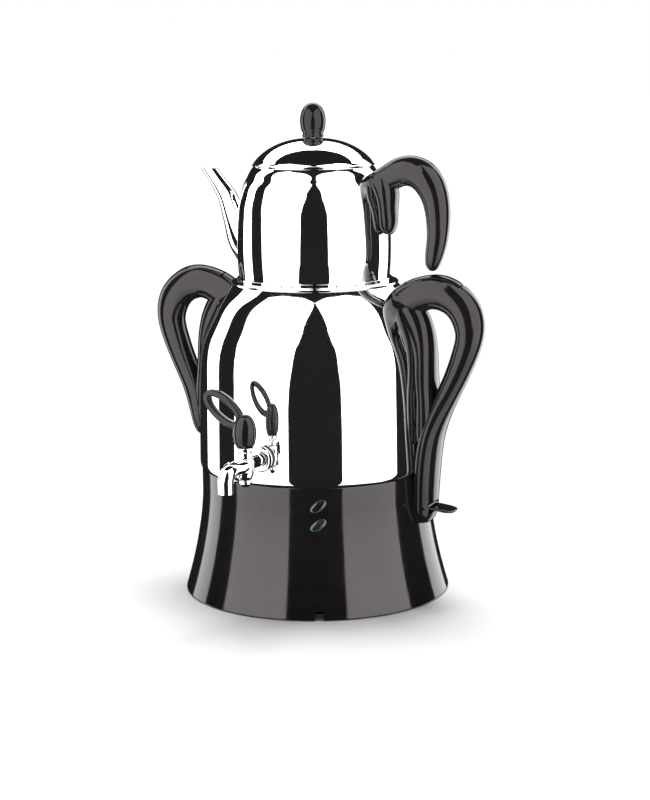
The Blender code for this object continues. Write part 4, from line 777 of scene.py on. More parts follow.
def stand_room(name):
    """Room that the tank, base and steam ring take from a handle."""
    outline = [(0.0, RING_TOP + CUT_SPARE), (RING_RADIUS + 0.0005, RING_TOP + CUT_SPARE),
               (RING_RADIUS + 0.0005, TANK_TOP - FIT_GAP)]
    outline += [point for point in tank_side(FIT_GAP) if point[0] > RING_RADIUS + 0.0008]
    outline += [(TANK_RADIUS + FIT_GAP, TANK_BOTTOM)] + base_side(-FIT_GAP)[1:] + [(0.0, BASE_RIM_HEIGHT)]
    return turned(name, outline, ROUND_SIDES, closed=False)


def crest(stations, depth):
    """Line along the top of the arch, depth below its surface."""
    first, last = CAP_SPAN
    line = smooth_line(stations, 12 * (len(stations) - 1) + 1)
    start = min(range(len(line)), key=lambda i: math.dist(line[i][:2], stations[first][:2]))
    end = min(range(len(line)), key=lambda i: math.dist(line[i][:2], stations[last][:2]))
    out = []
    for i in range(start, end + 1):
        along = Vector((line[i + 1][0] - line[i - 1][0], line[i + 1][1] - line[i - 1][1])).normalized()
        rise = line[i][2] - depth
        out.append((line[i][0] - along.y * rise, line[i][1] + along.x * rise))
    return out


def plate(name, outline, half_width):
    """Flat plate of an outline of (x, z), half_width to each side of the XZ plane."""
    count = len(outline)
    points = [(x, side * half_width, z) for side in (-1, 1) for x, z in outline]
    faces = [(i, (i + 1) % count, count + (i + 1) % count, count + i) for i in range(count)]
    return made_of(name, points, faces + [tuple(range(count)), tuple(range(count, 2 * count))])


def ear(side, end_stations, turn):
    """One handle and its cap strip, on +X and turned to its side."""
    arch = on_tank(ARCH_SHARES)
    grip = lofted(side + "_ear", arch + end_stations, 150)
    worked(grip, "UNION", lofted(side + "_saddle", on_tank(SADDLE_SHARES), 60))
    pocket = plate(side + "_pocket", crest(arch, -CUT_SPARE) + crest(arch, CAP_DEPTH + CAP_GAP)[::-1],
                   CAP_HALF_WIDTH + CAP_GAP)
    worked(grip, "DIFFERENCE", pocket, stand_room(side + "_room"))
    cap = lofted(side + "_ear_cap", arch, 110)
    shape = plate(side + "_cap_shape", crest(arch, -CUT_SPARE)[1:-1] + crest(arch, CAP_DEPTH)[1:-1][::-1],
        CAP_HALF_WIDTH)
    worked(cap, "INTERSECT", shape)
    worked(cap, "DIFFERENCE", stand_room(side + "_cap_room"))
    for piece in (grip, cap):
        moved(piece, Matrix.Rotation(turn, 4, "Z"))
    return grip, cap


handle_black = gloss_black("handle_gloss_black", 0.33, 0.07, 0.13)
left_ear, left_ear_cap = ear("left", on_tank(LEFT_END_SHARES), math.pi)
right_ear, right_ear_cap = ear("right", on_tank(RIGHT_WALL_SHARES) + on_base(RIGHT_END_SHARES), 0.0)

# Switch lever: a thin black paddle on a steel pin across the foot of the right handle.
# Its tail reaches through the base's wall to a small snap switch.
SWITCH_LENGTH = 0.0249
SWITCH_HALF_WIDTH = 0.0115
SWITCH_THICKNESS = 0.0036
SWITCH_HUB_RADIUS = 0.0032
SWITCH_PIN_RADIUS = 0.0013
SWITCH_PIN_HALF_LENGTH = 0.0150
SWITCH_DROOP = math.radians(7)
BLADE_SHARES = (
    (0.0, 1.0, 0.96), (0.35, 1.0, 1.0), (0.70, 0.95, 1.0), (0.88, 0.75, 0.84), (0.97, 0.5, 0.55),
    (1.0, 0.2, 0.2),
)
paddle = lofted("switch_paddle", [
    (SWITCH_LENGTH * out, -SWITCH_LENGTH * out * math.tan(SWITCH_DROOP), SWITCH_THICKNESS / 2 * thick,
     SWITCH_HALF_WIDTH * wide) for out, thick, wide in BLADE_SHARES], 40, 40, squareness=3.0)
hub = rod("paddle_hub", (0.0, -SWITCH_HALF_WIDTH, 0.0), (0.0, SWITCH_HALF_WIDTH, 0.0), SWITCH_HUB_RADIUS)
tail = box("paddle_tail", (-SWITCH_TAIL_REACH, -SWITCH_TAIL_HALF_WIDTH, -SWITCH_THICKNESS / 2),
           (0.0, SWITCH_TAIL_HALF_WIDTH, SWITCH_THICKNESS / 2))
worked(paddle, "UNION", hub, tail)
worked(paddle, "DIFFERENCE",
    rod("paddle_bore", (0.0, -0.02, 0.0), (0.0, 0.02, 0.0), SWITCH_PIN_RADIUS + FIT_GAP))
dressed(moved(paddle, Matrix.Translation(SWITCH_AXIS)), handle_black, "switch", ["switch_lever"])
pin = rod("paddle_pin", SWITCH_AXIS - Vector((0.0, SWITCH_PIN_HALF_LENGTH, 0.0)),
          SWITCH_AXIS + Vector((0.0, SWITCH_PIN_HALF_LENGTH, 0.0)), SWITCH_PIN_RADIUS)
pin_finish, pin_shader, pin_place = finish("blued_pin_steel", (0.05, 0.05, 0.055), Metallic=1.0)
ranged(pin_finish, grain(pin_finish, pin_place, 900.0), 0.25, 0.40, pin_shader.inputs["Roughness"])
dressed(pin, pin_finish, "stand", ["switch_pin"])
paddle_side = SWITCH_HALF_WIDTH + RUN_GAP
paddle_room = box(
    "paddle_room", SWITCH_AXIS
        - Vector((SWITCH_HUB_RADIUS + RUN_GAP, paddle_side, SWITCH_SLOT_HALF_HEIGHT)),
    SWITCH_AXIS + Vector((SWITCH_LENGTH, paddle_side, SWITCH_SLOT_HALF_HEIGHT)))
pin_bore_reach = Vector((0.0, SWITCH_PIN_HALF_LENGTH + 4 * CUT_SPARE, 0.0))
pin_room = rod("pin_room", SWITCH_AXIS - pin_bore_reach, SWITCH_AXIS + pin_bore_reach, SWITCH_PIN_RADIUS
    + FIT_GAP)
worked(right_ear, "DIFFERENCE", pin_room, box("ear_tail_slot", tail_slot_low, tail_slot_high),
    paddle_room)
dressed(left_ear, handle_black, "stand", ["left_handle"])
dressed(left_ear_cap, handle_black, "stand", ["left_handle_cap"])
dressed(right_ear, handle_black, "stand", ["right_handle"])
dressed(right_ear_cap, handle_black, "stand", ["right_handle_cap"])
refinished(satin_black("switch_case_black"), "micro_switch")
refinished(zinc, "left_handle_screw_lower", "left_handle_screw_upper", "right_handle_screw_lower",
           "right_handle_screw_upper")

# Tap: chromed brass. A shank passes through the tank's wall behind a flange and a rubber gasket, with a nut inside,
# and the body's barrel carries a bonnet above, a small end cap below and a spout that bends down at its end.
TAP_PLACE = Matrix.Translation((0.0, 0.0, TAP_HEIGHT)) @ Matrix.Rotation(-math.pi / 2, 4, "Z")
TAP_STEM_REACH = 0.0317
TAP_SPOUT_REACH = 0.0354
TAP_TUBE_RADIUS = 0.0070
TAP_MOUTH_DROP = 0.0177
TAP_BORE_RADIUS = 0.0050
TAP_BORE_DEPTH = 0.012
TAP_SHANK_TAIL = 0.0085
TAP_FLANGE_RADIUS = 0.0120
TAP_FLANGE_THICKNESS = 0.0032
TAP_GASKET_THICKNESS = 0.0016
TAP_BARREL_RADIUS = 0.0082
TAP_BARREL_TOP = 0.0070
TAP_BARREL_BOTTOM = 0.0130
TAP_END_CAP_RADIUS = 0.0056
TAP_END_CAP_DROP = 0.0060
TAP_BONNET_RADIUS = 0.0074
TAP_BONNET_HEIGHT = 0.0085
TAP_STEM_RADIUS = 0.0025
stem_x = 0.139912
TUBE_SHARES = (
    (-0.02, 0.00, 1.00), (0.25, 0.00, 1.02), (0.48, 0.02, 1.03), (0.70, 0.03, 1.03),
    (0.86, -0.05, 1.03), (0.96, -0.22, 1.01), (1.00, -0.44, 1.0), (1.00, -0.70, 1.0),
    (1.00, -1.0, 1.0),
)


def chrome_plate(name):
    """Bright chromium plate on polished brass, with the slightest polishing waviness."""
    made, shader, place = finish(name, (0.87, 0.87, 0.88), Metallic=1.0)
    tinted(made, grain(made, place, 120.0), (0.85, 0.85, 0.865), (0.90, 0.90, 0.90),
        shader.inputs["Base Color"])
    ranged(made, grain(made, place, 400.0), 0.015, 0.05, shader.inputs["Roughness"])
    raised(made, grain(made, place, 260.0, detail=1.0), shader, 0.04, 0.00003)
    return made


tap_chrome = chrome_plate("tap_chrome")
tank_wall_radius = stem_x - TAP_STEM_REACH
flange_back = tank_wall_radius + 2 * FIT_GAP + TAP_GASKET_THICKNESS
flange_face = flange_back + TAP_FLANGE_THICKNESS
ALONG_X = Matrix.Rotation(math.pi / 2, 4, "Y")
refinished(rubber, "tap_gasket")
refinished(zinc, "tap_nut")
shank_clearance = TAP_SHANK_RADIUS + FIT_GAP
flange = turned("tap_rose", eased(
    [(shank_clearance, flange_face + 0.0), (TAP_FLANGE_RADIUS * 0.80, flange_face),
    (TAP_FLANGE_RADIUS, flange_face - 0.0011),
     (TAP_FLANGE_RADIUS, flange_back), (shank_clearance, flange_back)], 0.0006), 96)
dressed(moved(flange, TAP_PLACE @ ALONG_X), tap_chrome, "stand", ["tap_flange"])
spout = lofted("tap_spout", [
    (stem_x + TAP_SPOUT_REACH * out, TAP_MOUTH_DROP * up, TAP_TUBE_RADIUS * size, TAP_TUBE_RADIUS * size)
    for out, up, size in TUBE_SHARES], 80, 48, squareness=2.0)
barrel = turned("tap_barrel", eased(
    [(0.0, TAP_BARREL_TOP), (TAP_BONNET_RADIUS, TAP_BARREL_TOP), (TAP_BARREL_RADIUS, TAP_BARREL_TOP / 3),
     (TAP_BARREL_RADIUS, -TAP_BARREL_BOTTOM / 2), (TAP_END_CAP_RADIUS, -TAP_BARREL_BOTTOM),
     (0.0, -TAP_BARREL_BOTTOM)],
    0.0012, closed=False), 64, closed=False)
moved(barrel, Matrix.Translation((stem_x, 0.0, 0.0)))
shank = rod("tap_shank", (tank_wall_radius - TAP_SHANK_TAIL, 0.0, 0.0), (stem_x, 0.0, 0.0),
    TAP_SHANK_RADIUS, 48)
worked(spout, "UNION", barrel, shank)
mouth_x = stem_x + TAP_SPOUT_REACH
worked(spout, "DIFFERENCE", rod("tap_bore", (mouth_x, 0.0, -TAP_MOUTH_DROP - CUT_SPARE),
                                (mouth_x, 0.0, -TAP_MOUTH_DROP + TAP_BORE_DEPTH), TAP_BORE_RADIUS, 48))
dressed(moved(spout, TAP_PLACE), tap_chrome, "stand", ["tap_body"])
cap_top = -TAP_BARREL_BOTTOM - FIT_GAP
end_cap = turned("tap_cap_nut", eased(
    [(0.0, cap_top), (TAP_END_CAP_RADIUS, cap_top),
    (TAP_END_CAP_RADIUS, cap_top - TAP_END_CAP_DROP * 0.45),
     (TAP_END_CAP_RADIUS * 0.55, cap_top - TAP_END_CAP_DROP), (0.0, cap_top - TAP_END_CAP_DROP)], 0.0010,
     closed=False),
    64, closed=False)
dressed(moved(end_cap, TAP_PLACE @ Matrix.Translation((stem_x, 0.0, 0.0))), tap_chrome, "stand",
    ["tap_end_cap"])
bonnet_bottom = TAP_BARREL_TOP + FIT_GAP
bonnet_top = bonnet_bottom + TAP_BONNET_HEIGHT
stem_bore = TAP_STEM_RADIUS + FIT_GAP
bonnet = turned("tap_gland_nut", eased(
    [(TAP_BONNET_RADIUS, bonnet_top), (TAP_BONNET_RADIUS, bonnet_top - TAP_BONNET_HEIGHT * 0.38),
     (TAP_BONNET_RADIUS * 0.86, bonnet_top - TAP_BONNET_HEIGHT * 0.48),
     (TAP_BONNET_RADIUS * 0.88, bonnet_bottom + 0.0018),
     (TAP_BONNET_RADIUS, bonnet_bottom), (stem_bore, bonnet_bottom), (stem_bore, bonnet_top)], 0.0006),
     96)
dressed(moved(bonnet, TAP_PLACE @ Matrix.Translation((stem_x, 0.0, 0.0))), tap_chrome, "stand",
    ["tap_bonnet"])

# Tap key: a chromed stem that turns in the bonnet, with a gloss black egg moulded on it.
# A flat oval finger loop leans out of the egg's top, in the plane of the tank's wall.
TAP_EGG_RADIUS = 0.0103
TAP_EGG_HEIGHT = 0.0291
TAP_LOOP_LENGTH = 0.0450
TAP_LOOP_WIDTH = 0.0235
TAP_LOOP_BAR = 0.0066
TAP_LOOP_DEPTH = 0.0082
TAP_LOOP_TILT = math.radians(38)
LOOP_RISE_SHARE = 0.57
LOOP_SHIFT_SHARE = 0.56
LOOP_POINTS = 120
LOOP_SECTION_SIDES = 32
LOOP_SQUARENESS = 2.6
EGG_SHARES = (
    (0.0, 1.0), (0.36, 0.975), (0.62, 0.90), (0.84, 0.76), (0.96, 0.60), (1.0, 0.42), (0.95, 0.23),
    (0.84, 0.08), (0.70, 0.0),
)
egg_bottom = bonnet_top + FIT_GAP
key_black = gloss_black("key_gloss_black", 0.30, 0.06, 0.11)
egg = turned("key_egg", smooth_line(
    [(TAP_EGG_RADIUS * wide, egg_bottom + TAP_EGG_HEIGHT * high) for wide, high in EGG_SHARES], 48)
    + [(0.0, egg_bottom)],
    96, closed=False)
loop_points, loop_faces = [], []
long_axis = Vector((0.0, -math.cos(TAP_LOOP_TILT), math.sin(TAP_LOOP_TILT)))
short_axis = Vector((0.0, math.sin(TAP_LOOP_TILT), math.cos(TAP_LOOP_TILT)))
half_length, half_width = (TAP_LOOP_LENGTH - TAP_LOOP_BAR) / 2, (TAP_LOOP_WIDTH - TAP_LOOP_BAR) / 2
loop_centre = Vector((0.0, 0.0, egg_bottom + TAP_EGG_HEIGHT
    * LOOP_RISE_SHARE)) + long_axis * TAP_LOOP_LENGTH * LOOP_SHIFT_SHARE
for i in range(LOOP_POINTS):
    angle = math.tau * i / LOOP_POINTS
    middle = loop_centre + long_axis * half_length * math.cos(angle) + short_axis * half_width * math.sin(
        angle)
    outward = (long_axis * math.cos(angle) / half_length + short_axis * math.sin(angle)
        / half_width).normalized()
    for side in range(LOOP_SECTION_SIDES):
        turn = math.tau * side / LOOP_SECTION_SIDES
        out = math.copysign(abs(math.cos(turn)) ** (2 / LOOP_SQUARENESS),
            math.cos(turn)) * TAP_LOOP_BAR / 2
        aside = math.copysign(abs(math.sin(turn)) ** (2 / LOOP_SQUARENESS),
            math.sin(turn)) * TAP_LOOP_DEPTH / 2
        loop_points.append(tuple(middle + outward * out + Vector((aside, 0.0, 0.0))))
        here, across = i * LOOP_SECTION_SIDES, (i + 1) % LOOP_POINTS * LOOP_SECTION_SIDES
        after = (side + 1) % LOOP_SECTION_SIDES
        loop_faces.append((here + side, here + after, across + after, across + side))
worked(egg, "UNION", made_of("key_loop", loop_points, loop_faces))
stem_top = egg_bottom + TAP_EGG_HEIGHT / 2
stem_end = TAP_BARREL_TOP + 2 * FIT_GAP
worked(egg, "DIFFERENCE",
    rod("stem_socket", (0.0, 0.0, stem_end - CUT_SPARE), (0.0, 0.0, stem_top + FIT_GAP), stem_bore))
KEY_PLACE = TAP_PLACE @ Matrix.Translation((stem_x, 0.0, 0.0))
dressed(moved(egg, KEY_PLACE), key_black, "tap_key", ["tap_lever"])
stem = rod("key_stem", (0.0, 0.0, stem_end), (0.0, 0.0, stem_top), TAP_STEM_RADIUS)
dressed(moved(stem, KEY_PLACE), tap_chrome, "tap_key", ["tap_stem"])

# Steam ring: a pressed steel ring that drops into the tank's mouth, with a rolled bead round its edge.
# A row of vent holes runs round the step that carries the teapot, so that steam warms the pot.
RING_SKIRT_DEPTH = 0.010
RING_WALL = 0.0009
RISER_RADIUS = 0.0712
RING_BORE_RADIUS = 0.058
VENT_RADIUS = 0.0009
VENT_COUNT = 45
bead_top = RING_BOTTOM + RING_BEAD_HEIGHT
skirt_radius = tank_lip - FIT_GAP
bead = smooth_line([(RING_RADIUS - 0.0030, bead_top), (RING_RADIUS - 0.0009, bead_top - 0.0002),
                    (RING_RADIUS, RING_BOTTOM + RING_BEAD_HEIGHT * 0.5),
                    (RING_RADIUS - 0.0009, RING_BOTTOM)], 14)
seat = turned("steam_seat", eased(
    [(RISER_RADIUS, bead_top)] + bead + [
        (skirt_radius, RING_BOTTOM), (skirt_radius, RING_BOTTOM - RING_SKIRT_DEPTH),
        (skirt_radius - RING_WALL, RING_BOTTOM - RING_SKIRT_DEPTH),
        (skirt_radius - RING_WALL, RING_BOTTOM + RING_WALL),
        (RISER_RADIUS - RING_WALL, RING_BOTTOM + RING_WALL),
        (RISER_RADIUS - RING_WALL, RING_TOP - RING_WALL),
        (RING_BORE_RADIUS, RING_TOP - RING_WALL), (RING_BORE_RADIUS, RING_TOP), (RISER_RADIUS, RING_TOP)],
        0.0004))
vent_height = bead_top + (RISER_HEIGHT - RING_WALL) / 2
vents = copied_round(
    "vent_punch", rod("vent", (-2 * RING_WALL, 0, 0), (2 * RING_WALL, 0, 0), VENT_RADIUS, 16), VENT_COUNT,
        RISER_RADIUS,
    vent_height, 0.0, tank_steel)
worked(seat, "DIFFERENCE", vents)
dressed(seat, polished_steel("ring_polished_steel"), "ring", ["steam_ring"])

# Teapot: a drawn and polished steel pot with a rounded shoulder, a raised floor and a foot that flares a little.
# A cluster of strainer holes is punched in its wall behind the spout.
POT_BOTTOM = RING_TOP + FIT_GAP
POT_RADIUS = 0.0705
POT_HEIGHT = 0.1010
POT_NECK_RADIUS = 0.0545
POT_MOUTH_RADIUS = 0.0500
POT_WALL = 0.0008
POT_FOOT_WIDTH = 0.0025
POT_FLOOR_LIFT = 0.003
POT_SIDE_SHARES = (
    (0.0, 1.0), (0.206, 0.955), (0.381, 0.901), (0.556, 0.847), (0.72, 0.765), (0.856, 0.675),
    (0.95, 0.53), (1.0, 0.34), (0.985, 0.14), (0.925, 0.0),
)
POT_RINGS = 90
STRAINER_RADIUS = 0.0019
STRAINER_SPACING = 0.0066
STRAINER_HEIGHT = POT_BOTTOM + POT_HEIGHT * 0.30


def pot_side(grow=0.0):
    """Side of the teapot from neck to foot, moved outwards."""
    spread = POT_RADIUS - POT_NECK_RADIUS
    points = [(POT_NECK_RADIUS + spread * out, POT_BOTTOM + POT_HEIGHT * up) for out,
        up in POT_SIDE_SHARES]
    return [(radius + grow, height) for radius, height in smooth_line(points, POT_RINGS)]


pot_steel = polished_steel("pot_polished_steel")
foot_radius = pot_side()[-1][0]
pot_top = POT_BOTTOM + POT_HEIGHT
pot_floor = POT_BOTTOM + POT_FLOOR_LIFT
inside = [point for point in pot_side(-POT_WALL)[::-1] if pot_floor + 3 * POT_WALL < point[1] < pot_top
    - 0.002]
pot = turned("pot", pot_side() + [
    (foot_radius - POT_FOOT_WIDTH, POT_BOTTOM), (foot_radius - POT_FOOT_WIDTH, pot_floor),
    (0.0, pot_floor),
    (0.0, pot_floor + POT_WALL), (foot_radius - POT_FOOT_WIDTH, pot_floor + POT_WALL)] + inside + [
    (POT_NECK_RADIUS - POT_WALL, pot_top - POT_WALL), (POT_MOUTH_RADIUS, pot_top - POT_WALL),
    (POT_MOUTH_RADIUS, pot_top)])
strainer = copied_round(
    "strainer_punch", rod("strainer_hole", (0, 0, -4 * POT_WALL), (0, 0, 4 * POT_WALL), STRAINER_RADIUS,
        24), 6,
    STRAINER_SPACING, 0.0, 0.0, tank_steel)
middle_hole = rod("strainer_middle", (0, 0, -4 * POT_WALL), (0, 0, 4 * POT_WALL), STRAINER_RADIUS, 24)
strainer_place = Matrix.Translation((-POT_RADIUS, 0.0, STRAINER_HEIGHT)) @ Matrix.Rotation(-math.pi / 2,
    4, "Y")
worked(pot, "DIFFERENCE", moved(strainer, strainer_place), moved(middle_hole, strainer_place))
dressed(pot, pot_steel, "teapot", ["teapot_body"])

# Spout: a tapering steel horn welded over the strainer holes, with a level mouth.
SPOUT_STAND = 0.0011
SPOUT_REACH = 0.0418
SPOUT_MOUTH_HEIGHT = 0.0969
SPOUT_HALF_THICKNESS = 0.0093
SPOUT_WALL = 0.0009
SPOUT_SHARES = (
    (-0.25, 0.26, 2.37, 1.83), (0.0, 0.355, 1.95, 1.62), (0.195, 0.49, 1.37, 1.26),
    (0.317, 0.61, 1.13, 1.06),
    (0.415, 0.714, 1.0, 0.93), (0.60, 0.836, 0.81, 0.80), (0.81, 0.955, 0.70, 0.71),
    (1.02, 1.07, 0.68, 0.68),
)


def spout_stations(inset=0.0):
    """Stations of the spout on +X, thinner by inset."""
    return [(POT_RADIUS + SPOUT_STAND + SPOUT_REACH * out, POT_BOTTOM + SPOUT_MOUTH_HEIGHT * up,
             SPOUT_HALF_THICKNESS * thick - inset, SPOUT_HALF_THICKNESS * wide - inset)
            for out, up, thick, wide in SPOUT_SHARES]


def pot_room(name):
    """Room that the teapot takes from what is fixed to it."""
    return turned(name, [(0.0, pot_top)] + pot_side(FIT_GAP) + [(0.0, POT_BOTTOM)], ROUND_SIDES,
        closed=False)


horn = lofted("spout_horn", spout_stations(), 90, 64, squareness=2.0)
worked(horn, "DIFFERENCE",
       box("spout_level", (POT_RADIUS, -0.02, POT_BOTTOM + SPOUT_MOUTH_HEIGHT),
           (POT_RADIUS + 0.08, 0.02, pot_top + 0.04)),
       pot_room("spout_room"), lofted("spout_bore", spout_stations(SPOUT_WALL), 90, 64, squareness=2.0))
dressed(moved(horn, Matrix.Rotation(math.pi, 4, "Z")), pot_steel, "teapot", ["teapot_spout"])

# Teapot handle: an open hook moulded in gloss black plastic, with a saddle fixed against the pot's wall.
HOOK_STAND = 0.0010
HOOK_REACH = 0.0621
HOOK_HALF_THICKNESS = 0.0125
HOOK_HALF_WIDTH = 0.0115
HOOK_SHARES = (
    (-0.17, 0.807, 0.85, 1.0), (0.075, 0.872, 0.96, 1.0), (0.245, 0.922, 1.04, 1.0),
    (0.45, 0.929, 1.10, 1.0), (0.60, 0.885, 1.12, 1.0), (0.705, 0.809, 1.08, 0.98),
    (0.78, 0.705, 0.98, 0.96), (0.825, 0.530, 0.86, 0.90), (0.812, 0.328, 0.74, 0.78),
    (0.750, 0.142, 0.57, 0.60), (0.731, 0.087, 0.40, 0.43), (0.72, 0.062, 0.16, 0.18),
)
YOKE_SHARES = (
    (-0.05, 0.84, 0.92, 1.15), (0.02, 0.745, 0.84, 1.25), (0.042, 0.605, 0.68, 1.08),
    (0.045, 0.485, 0.66, 0.92), (0.035, 0.415, 0.54, 0.76), (0.02, 0.385, 0.37, 0.52),
    (0.01, 0.371, 0.16, 0.22),
)
LID_RADIUS = 0.0562
LID_BOTTOM = pot_top + FIT_GAP
LID_RISE = 0.0245


def hook_stations(shares):
    """Stations of the teapot handle."""
    return [(POT_RADIUS + HOOK_STAND + HOOK_REACH * out, pot_floor + POT_HEIGHT * up,
             HOOK_HALF_THICKNESS * thick, HOOK_HALF_WIDTH * wide) for out, up, thick, wide in shares]


hook = lofted("hook_handle", hook_stations(HOOK_SHARES), 120)
worked(hook, "UNION", lofted("hook_yoke", hook_stations(YOKE_SHARES), 60))
lid_room = turned("lid_room",
    [(0.0, pot_top + LID_RISE + 0.02), (LID_RADIUS + 0.0005, pot_top + LID_RISE + 0.02),
                               (LID_RADIUS + 0.0005, pot_top - CUT_SPARE), (0.0, pot_top - CUT_SPARE)],
                               128, closed=False)
worked(hook, "DIFFERENCE", pot_room("hook_room"), lid_room)
dressed(hook, gloss_black("hook_gloss_black", 0.33, 0.07, 0.13), "teapot", ["teapot_handle"])

# Lid: a pressed and polished steel dome with a thin turned rim, and a skirt that enters the pot's mouth.
LID_RIM_THICKNESS = 0.0012
LID_SKIRT_DEPTH = 0.007
LID_WALL = 0.0008
DOME_POWER = 2.4
DOME_FULLNESS = 0.80
DOME_RINGS = 60
LID_HOLE_RADIUS = 0.0023


def dome(radius, rise, base):
    """Crown of the lid from its middle to its edge."""
    line = []
    for i in range(DOME_RINGS + 1):
        out = math.sin(math.pi / 2 * i / DOME_RINGS)
        line.append((radius * out, base + rise * (1 - out ** DOME_POWER) ** DOME_FULLNESS))
    return line


lid_base = LID_BOTTOM + LID_RIM_THICKNESS
lid_skirt = POT_MOUTH_RADIUS - 0.0005
crown = dome(LID_RADIUS - LID_RIM_THICKNESS, LID_RISE - LID_RIM_THICKNESS, lid_base)
rim = smooth_line([(LID_RADIUS - 0.0008, lid_base), (LID_RADIUS, LID_BOTTOM + LID_RIM_THICKNESS * 0.5),
                   (LID_RADIUS - 0.0006, LID_BOTTOM)], 8)
lid = turned("lid", crown + rim + [
    (lid_skirt, LID_BOTTOM), (lid_skirt, LID_BOTTOM - LID_SKIRT_DEPTH),
    (lid_skirt - LID_WALL, LID_BOTTOM - LID_SKIRT_DEPTH)]
    + dome(lid_skirt - LID_WALL, LID_RISE - LID_RIM_THICKNESS - LID_WALL, lid_base)[::-1], closed=False)
worked(lid, "DIFFERENCE",
    rod("lid_hole", (0, 0, lid_base), (0, 0, LID_BOTTOM + LID_RISE + CUT_SPARE), LID_HOLE_RADIUS))
dressed(lid, polished_steel("lid_polished_steel"), "lid", ["lid_shell"])

# Knob: a gloss black egg on a small foot, held by a zinc-plated screw from under the lid.
KNOB_HEIGHT = 0.0313
KNOB_RADIUS = 0.0117
KNOB_SHARES = (
    (0.0, 1.0), (0.34, 0.975), (0.62, 0.90), (0.84, 0.775), (0.96, 0.63), (1.0, 0.48), (0.97, 0.33),
    (0.87, 0.19), (0.78, 0.11), (0.83, 0.045), (0.79, 0.0),
)
knob_bottom = LID_BOTTOM + LID_RISE + FIT_GAP
knob = turned("knob", smooth_line([(KNOB_RADIUS * wide, knob_bottom + KNOB_HEIGHT * high) for wide,
    high in KNOB_SHARES], 60)
              + [(0.0, knob_bottom)], 128, closed=False)
worked(knob, "DIFFERENCE",
    rod("knob_bore", (0, 0, knob_bottom - CUT_SPARE), (0, 0, knob_bottom + 0.014), LID_HOLE_RADIUS))
dressed(knob, gloss_black("knob_gloss_black", 0.25, 0.07, 0.12), "lid", ["lid_knob"])
lid_screw_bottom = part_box("lid_screw")[0][2]
lid_screw = cross_screw("knob_screw", 0.004, 0.0022, 0.002, 0.012)
dressed(moved(lid_screw, Matrix.Translation((0.0, 0.0, lid_screw_bottom))), zinc, "lid", ["lid_screw"])

# Studio: a white floor under one soft lamp from behind. A white tent with black cards in it stands in a black room.
# Only the object's shine sees them, as a photographer's tent gives polished metal and gloss black their bands.
TENT_RADIUS = 0.55
TENT_GAP = 0.006
TENT_STEPS = 180
ROOM_HEIGHT = 2.2
TENT_FOOT = -0.40
PANEL_GLOW = 3.7
PANEL_FOOT_GLOW = 2.3
PANEL_FOOT_RANGE = (-0.08, 0.10)
CARD_SHADE = 0.015
TENT_TOP_EDGE = ((-180.0, 1.65), (-150.0, 1.45), (-133.0, 1.20), (-113.0, 1.00), (-98.0, 0.90),
    (-84.0, 0.96),
                 (-66.0, 1.24), (-58.0, 1.34), (-40.0, 1.52), (-28.0, 1.60), (28.0, 1.60), (40.0, 1.52),
                 (58.0, 1.34),
                 (66.0, 1.24), (84.0, 0.96), (98.0, 0.90), (113.0, 1.00), (133.0, 1.20), (150.0, 1.45),
                 (180.0, 1.65))
CENTRE_CARD_EDGES = (((-24.4, TENT_FOOT), (-24.4, 0.12), (-22.6, 0.17), (-21.0, 0.22)),
                     ((22.8, TENT_FOOT), (22.7, 0.10), (21.8, 0.16), (20.4, 0.22)))
ARCH_CARD_DISTANCE = 0.37
ARCH_CARD_EDGES = (
    ((-21.7, 0.18), (-20.9, 0.20), (-20.1, 0.225), (-19.4, 0.253), (-18.9, 0.29), (-18.3, 0.335),
    (-17.8, 0.39),
     (-16.5, 0.42), (-15.8, 0.445), (-14.3, 0.482), (-12.9, 0.50), (-10.9, 0.515), (-8.4, 0.56),
     (-6.4, 0.60),
     (-5.1, 0.65), (-3.7, 0.70), (-2.2, 0.83), (-0.6, 1.00)),
    ((20.5, 0.18), (19.9, 0.20), (19.2, 0.225), (18.9, 0.253), (18.7, 0.29), (18.5, 0.335), (18.0, 0.39),
     (16.9, 0.42), (16.2, 0.445), (15.2, 0.482), (13.7, 0.50), (12.2, 0.515), (10.2, 0.56), (8.8, 0.60),
     (7.4, 0.65), (6.5, 0.70), (3.4, 0.83), (0.6, 1.00)))
LEFT_CARD_EDGES = (((-102.0, TENT_FOOT), (-101.0, 0.30), (-104.0, 0.45), (-103.0, 0.60), (-100.0, 0.80),
    (-97.0, 1.00)),
                   ((-79.0, TENT_FOOT), (-79.0, 0.30), (-82.0, 0.425), (-84.0, 0.60), (-85.0, 0.80),
                   (-84.0, 1.00)))
RIGHT_CARD_EDGES = (((78.0, TENT_FOOT), (77.0, 0.30), (79.0, 0.50), (80.0, 0.60), (84.0, 0.80),
    (84.0, 1.00)),
                    ((110.0, TENT_FOOT), (108.0, 0.60), (101.0, 0.80), (97.0, 1.00)))
VALLEY_DISTANCE = 0.183
VALLEY_EDGE = ((0.0, 0.508), (0.025, 0.550), (0.055, 0.60), (0.090, 0.645), (0.155, 0.71), (0.260, 0.85),
    (0.460, 1.18))
BACK_CARD_EDGES = (((138.0, TENT_FOOT), (138.0, 0.70)), ((236.0, TENT_FOOT), (236.0, 0.70)))
FLOOR_RADIUS = 30.0
AIR_GLOW = 0.20
SUN_POWER = 3.4
SUN_SPREAD = math.radians(34)
SUN_LEAN = math.radians(15)
SUN_SIDE = math.radians(-8)
CAMERA_TURN = math.radians(26.2)
CAMERA_DISTANCE = 1.6483
CAMERA_HEIGHT = 0.4762
CAMERA_PITCH = math.radians(10.31)
CAMERA_ROLL = -0.01044
CAMERA_LENS = 80.8
CAMERA_SHIFT = 0.0116


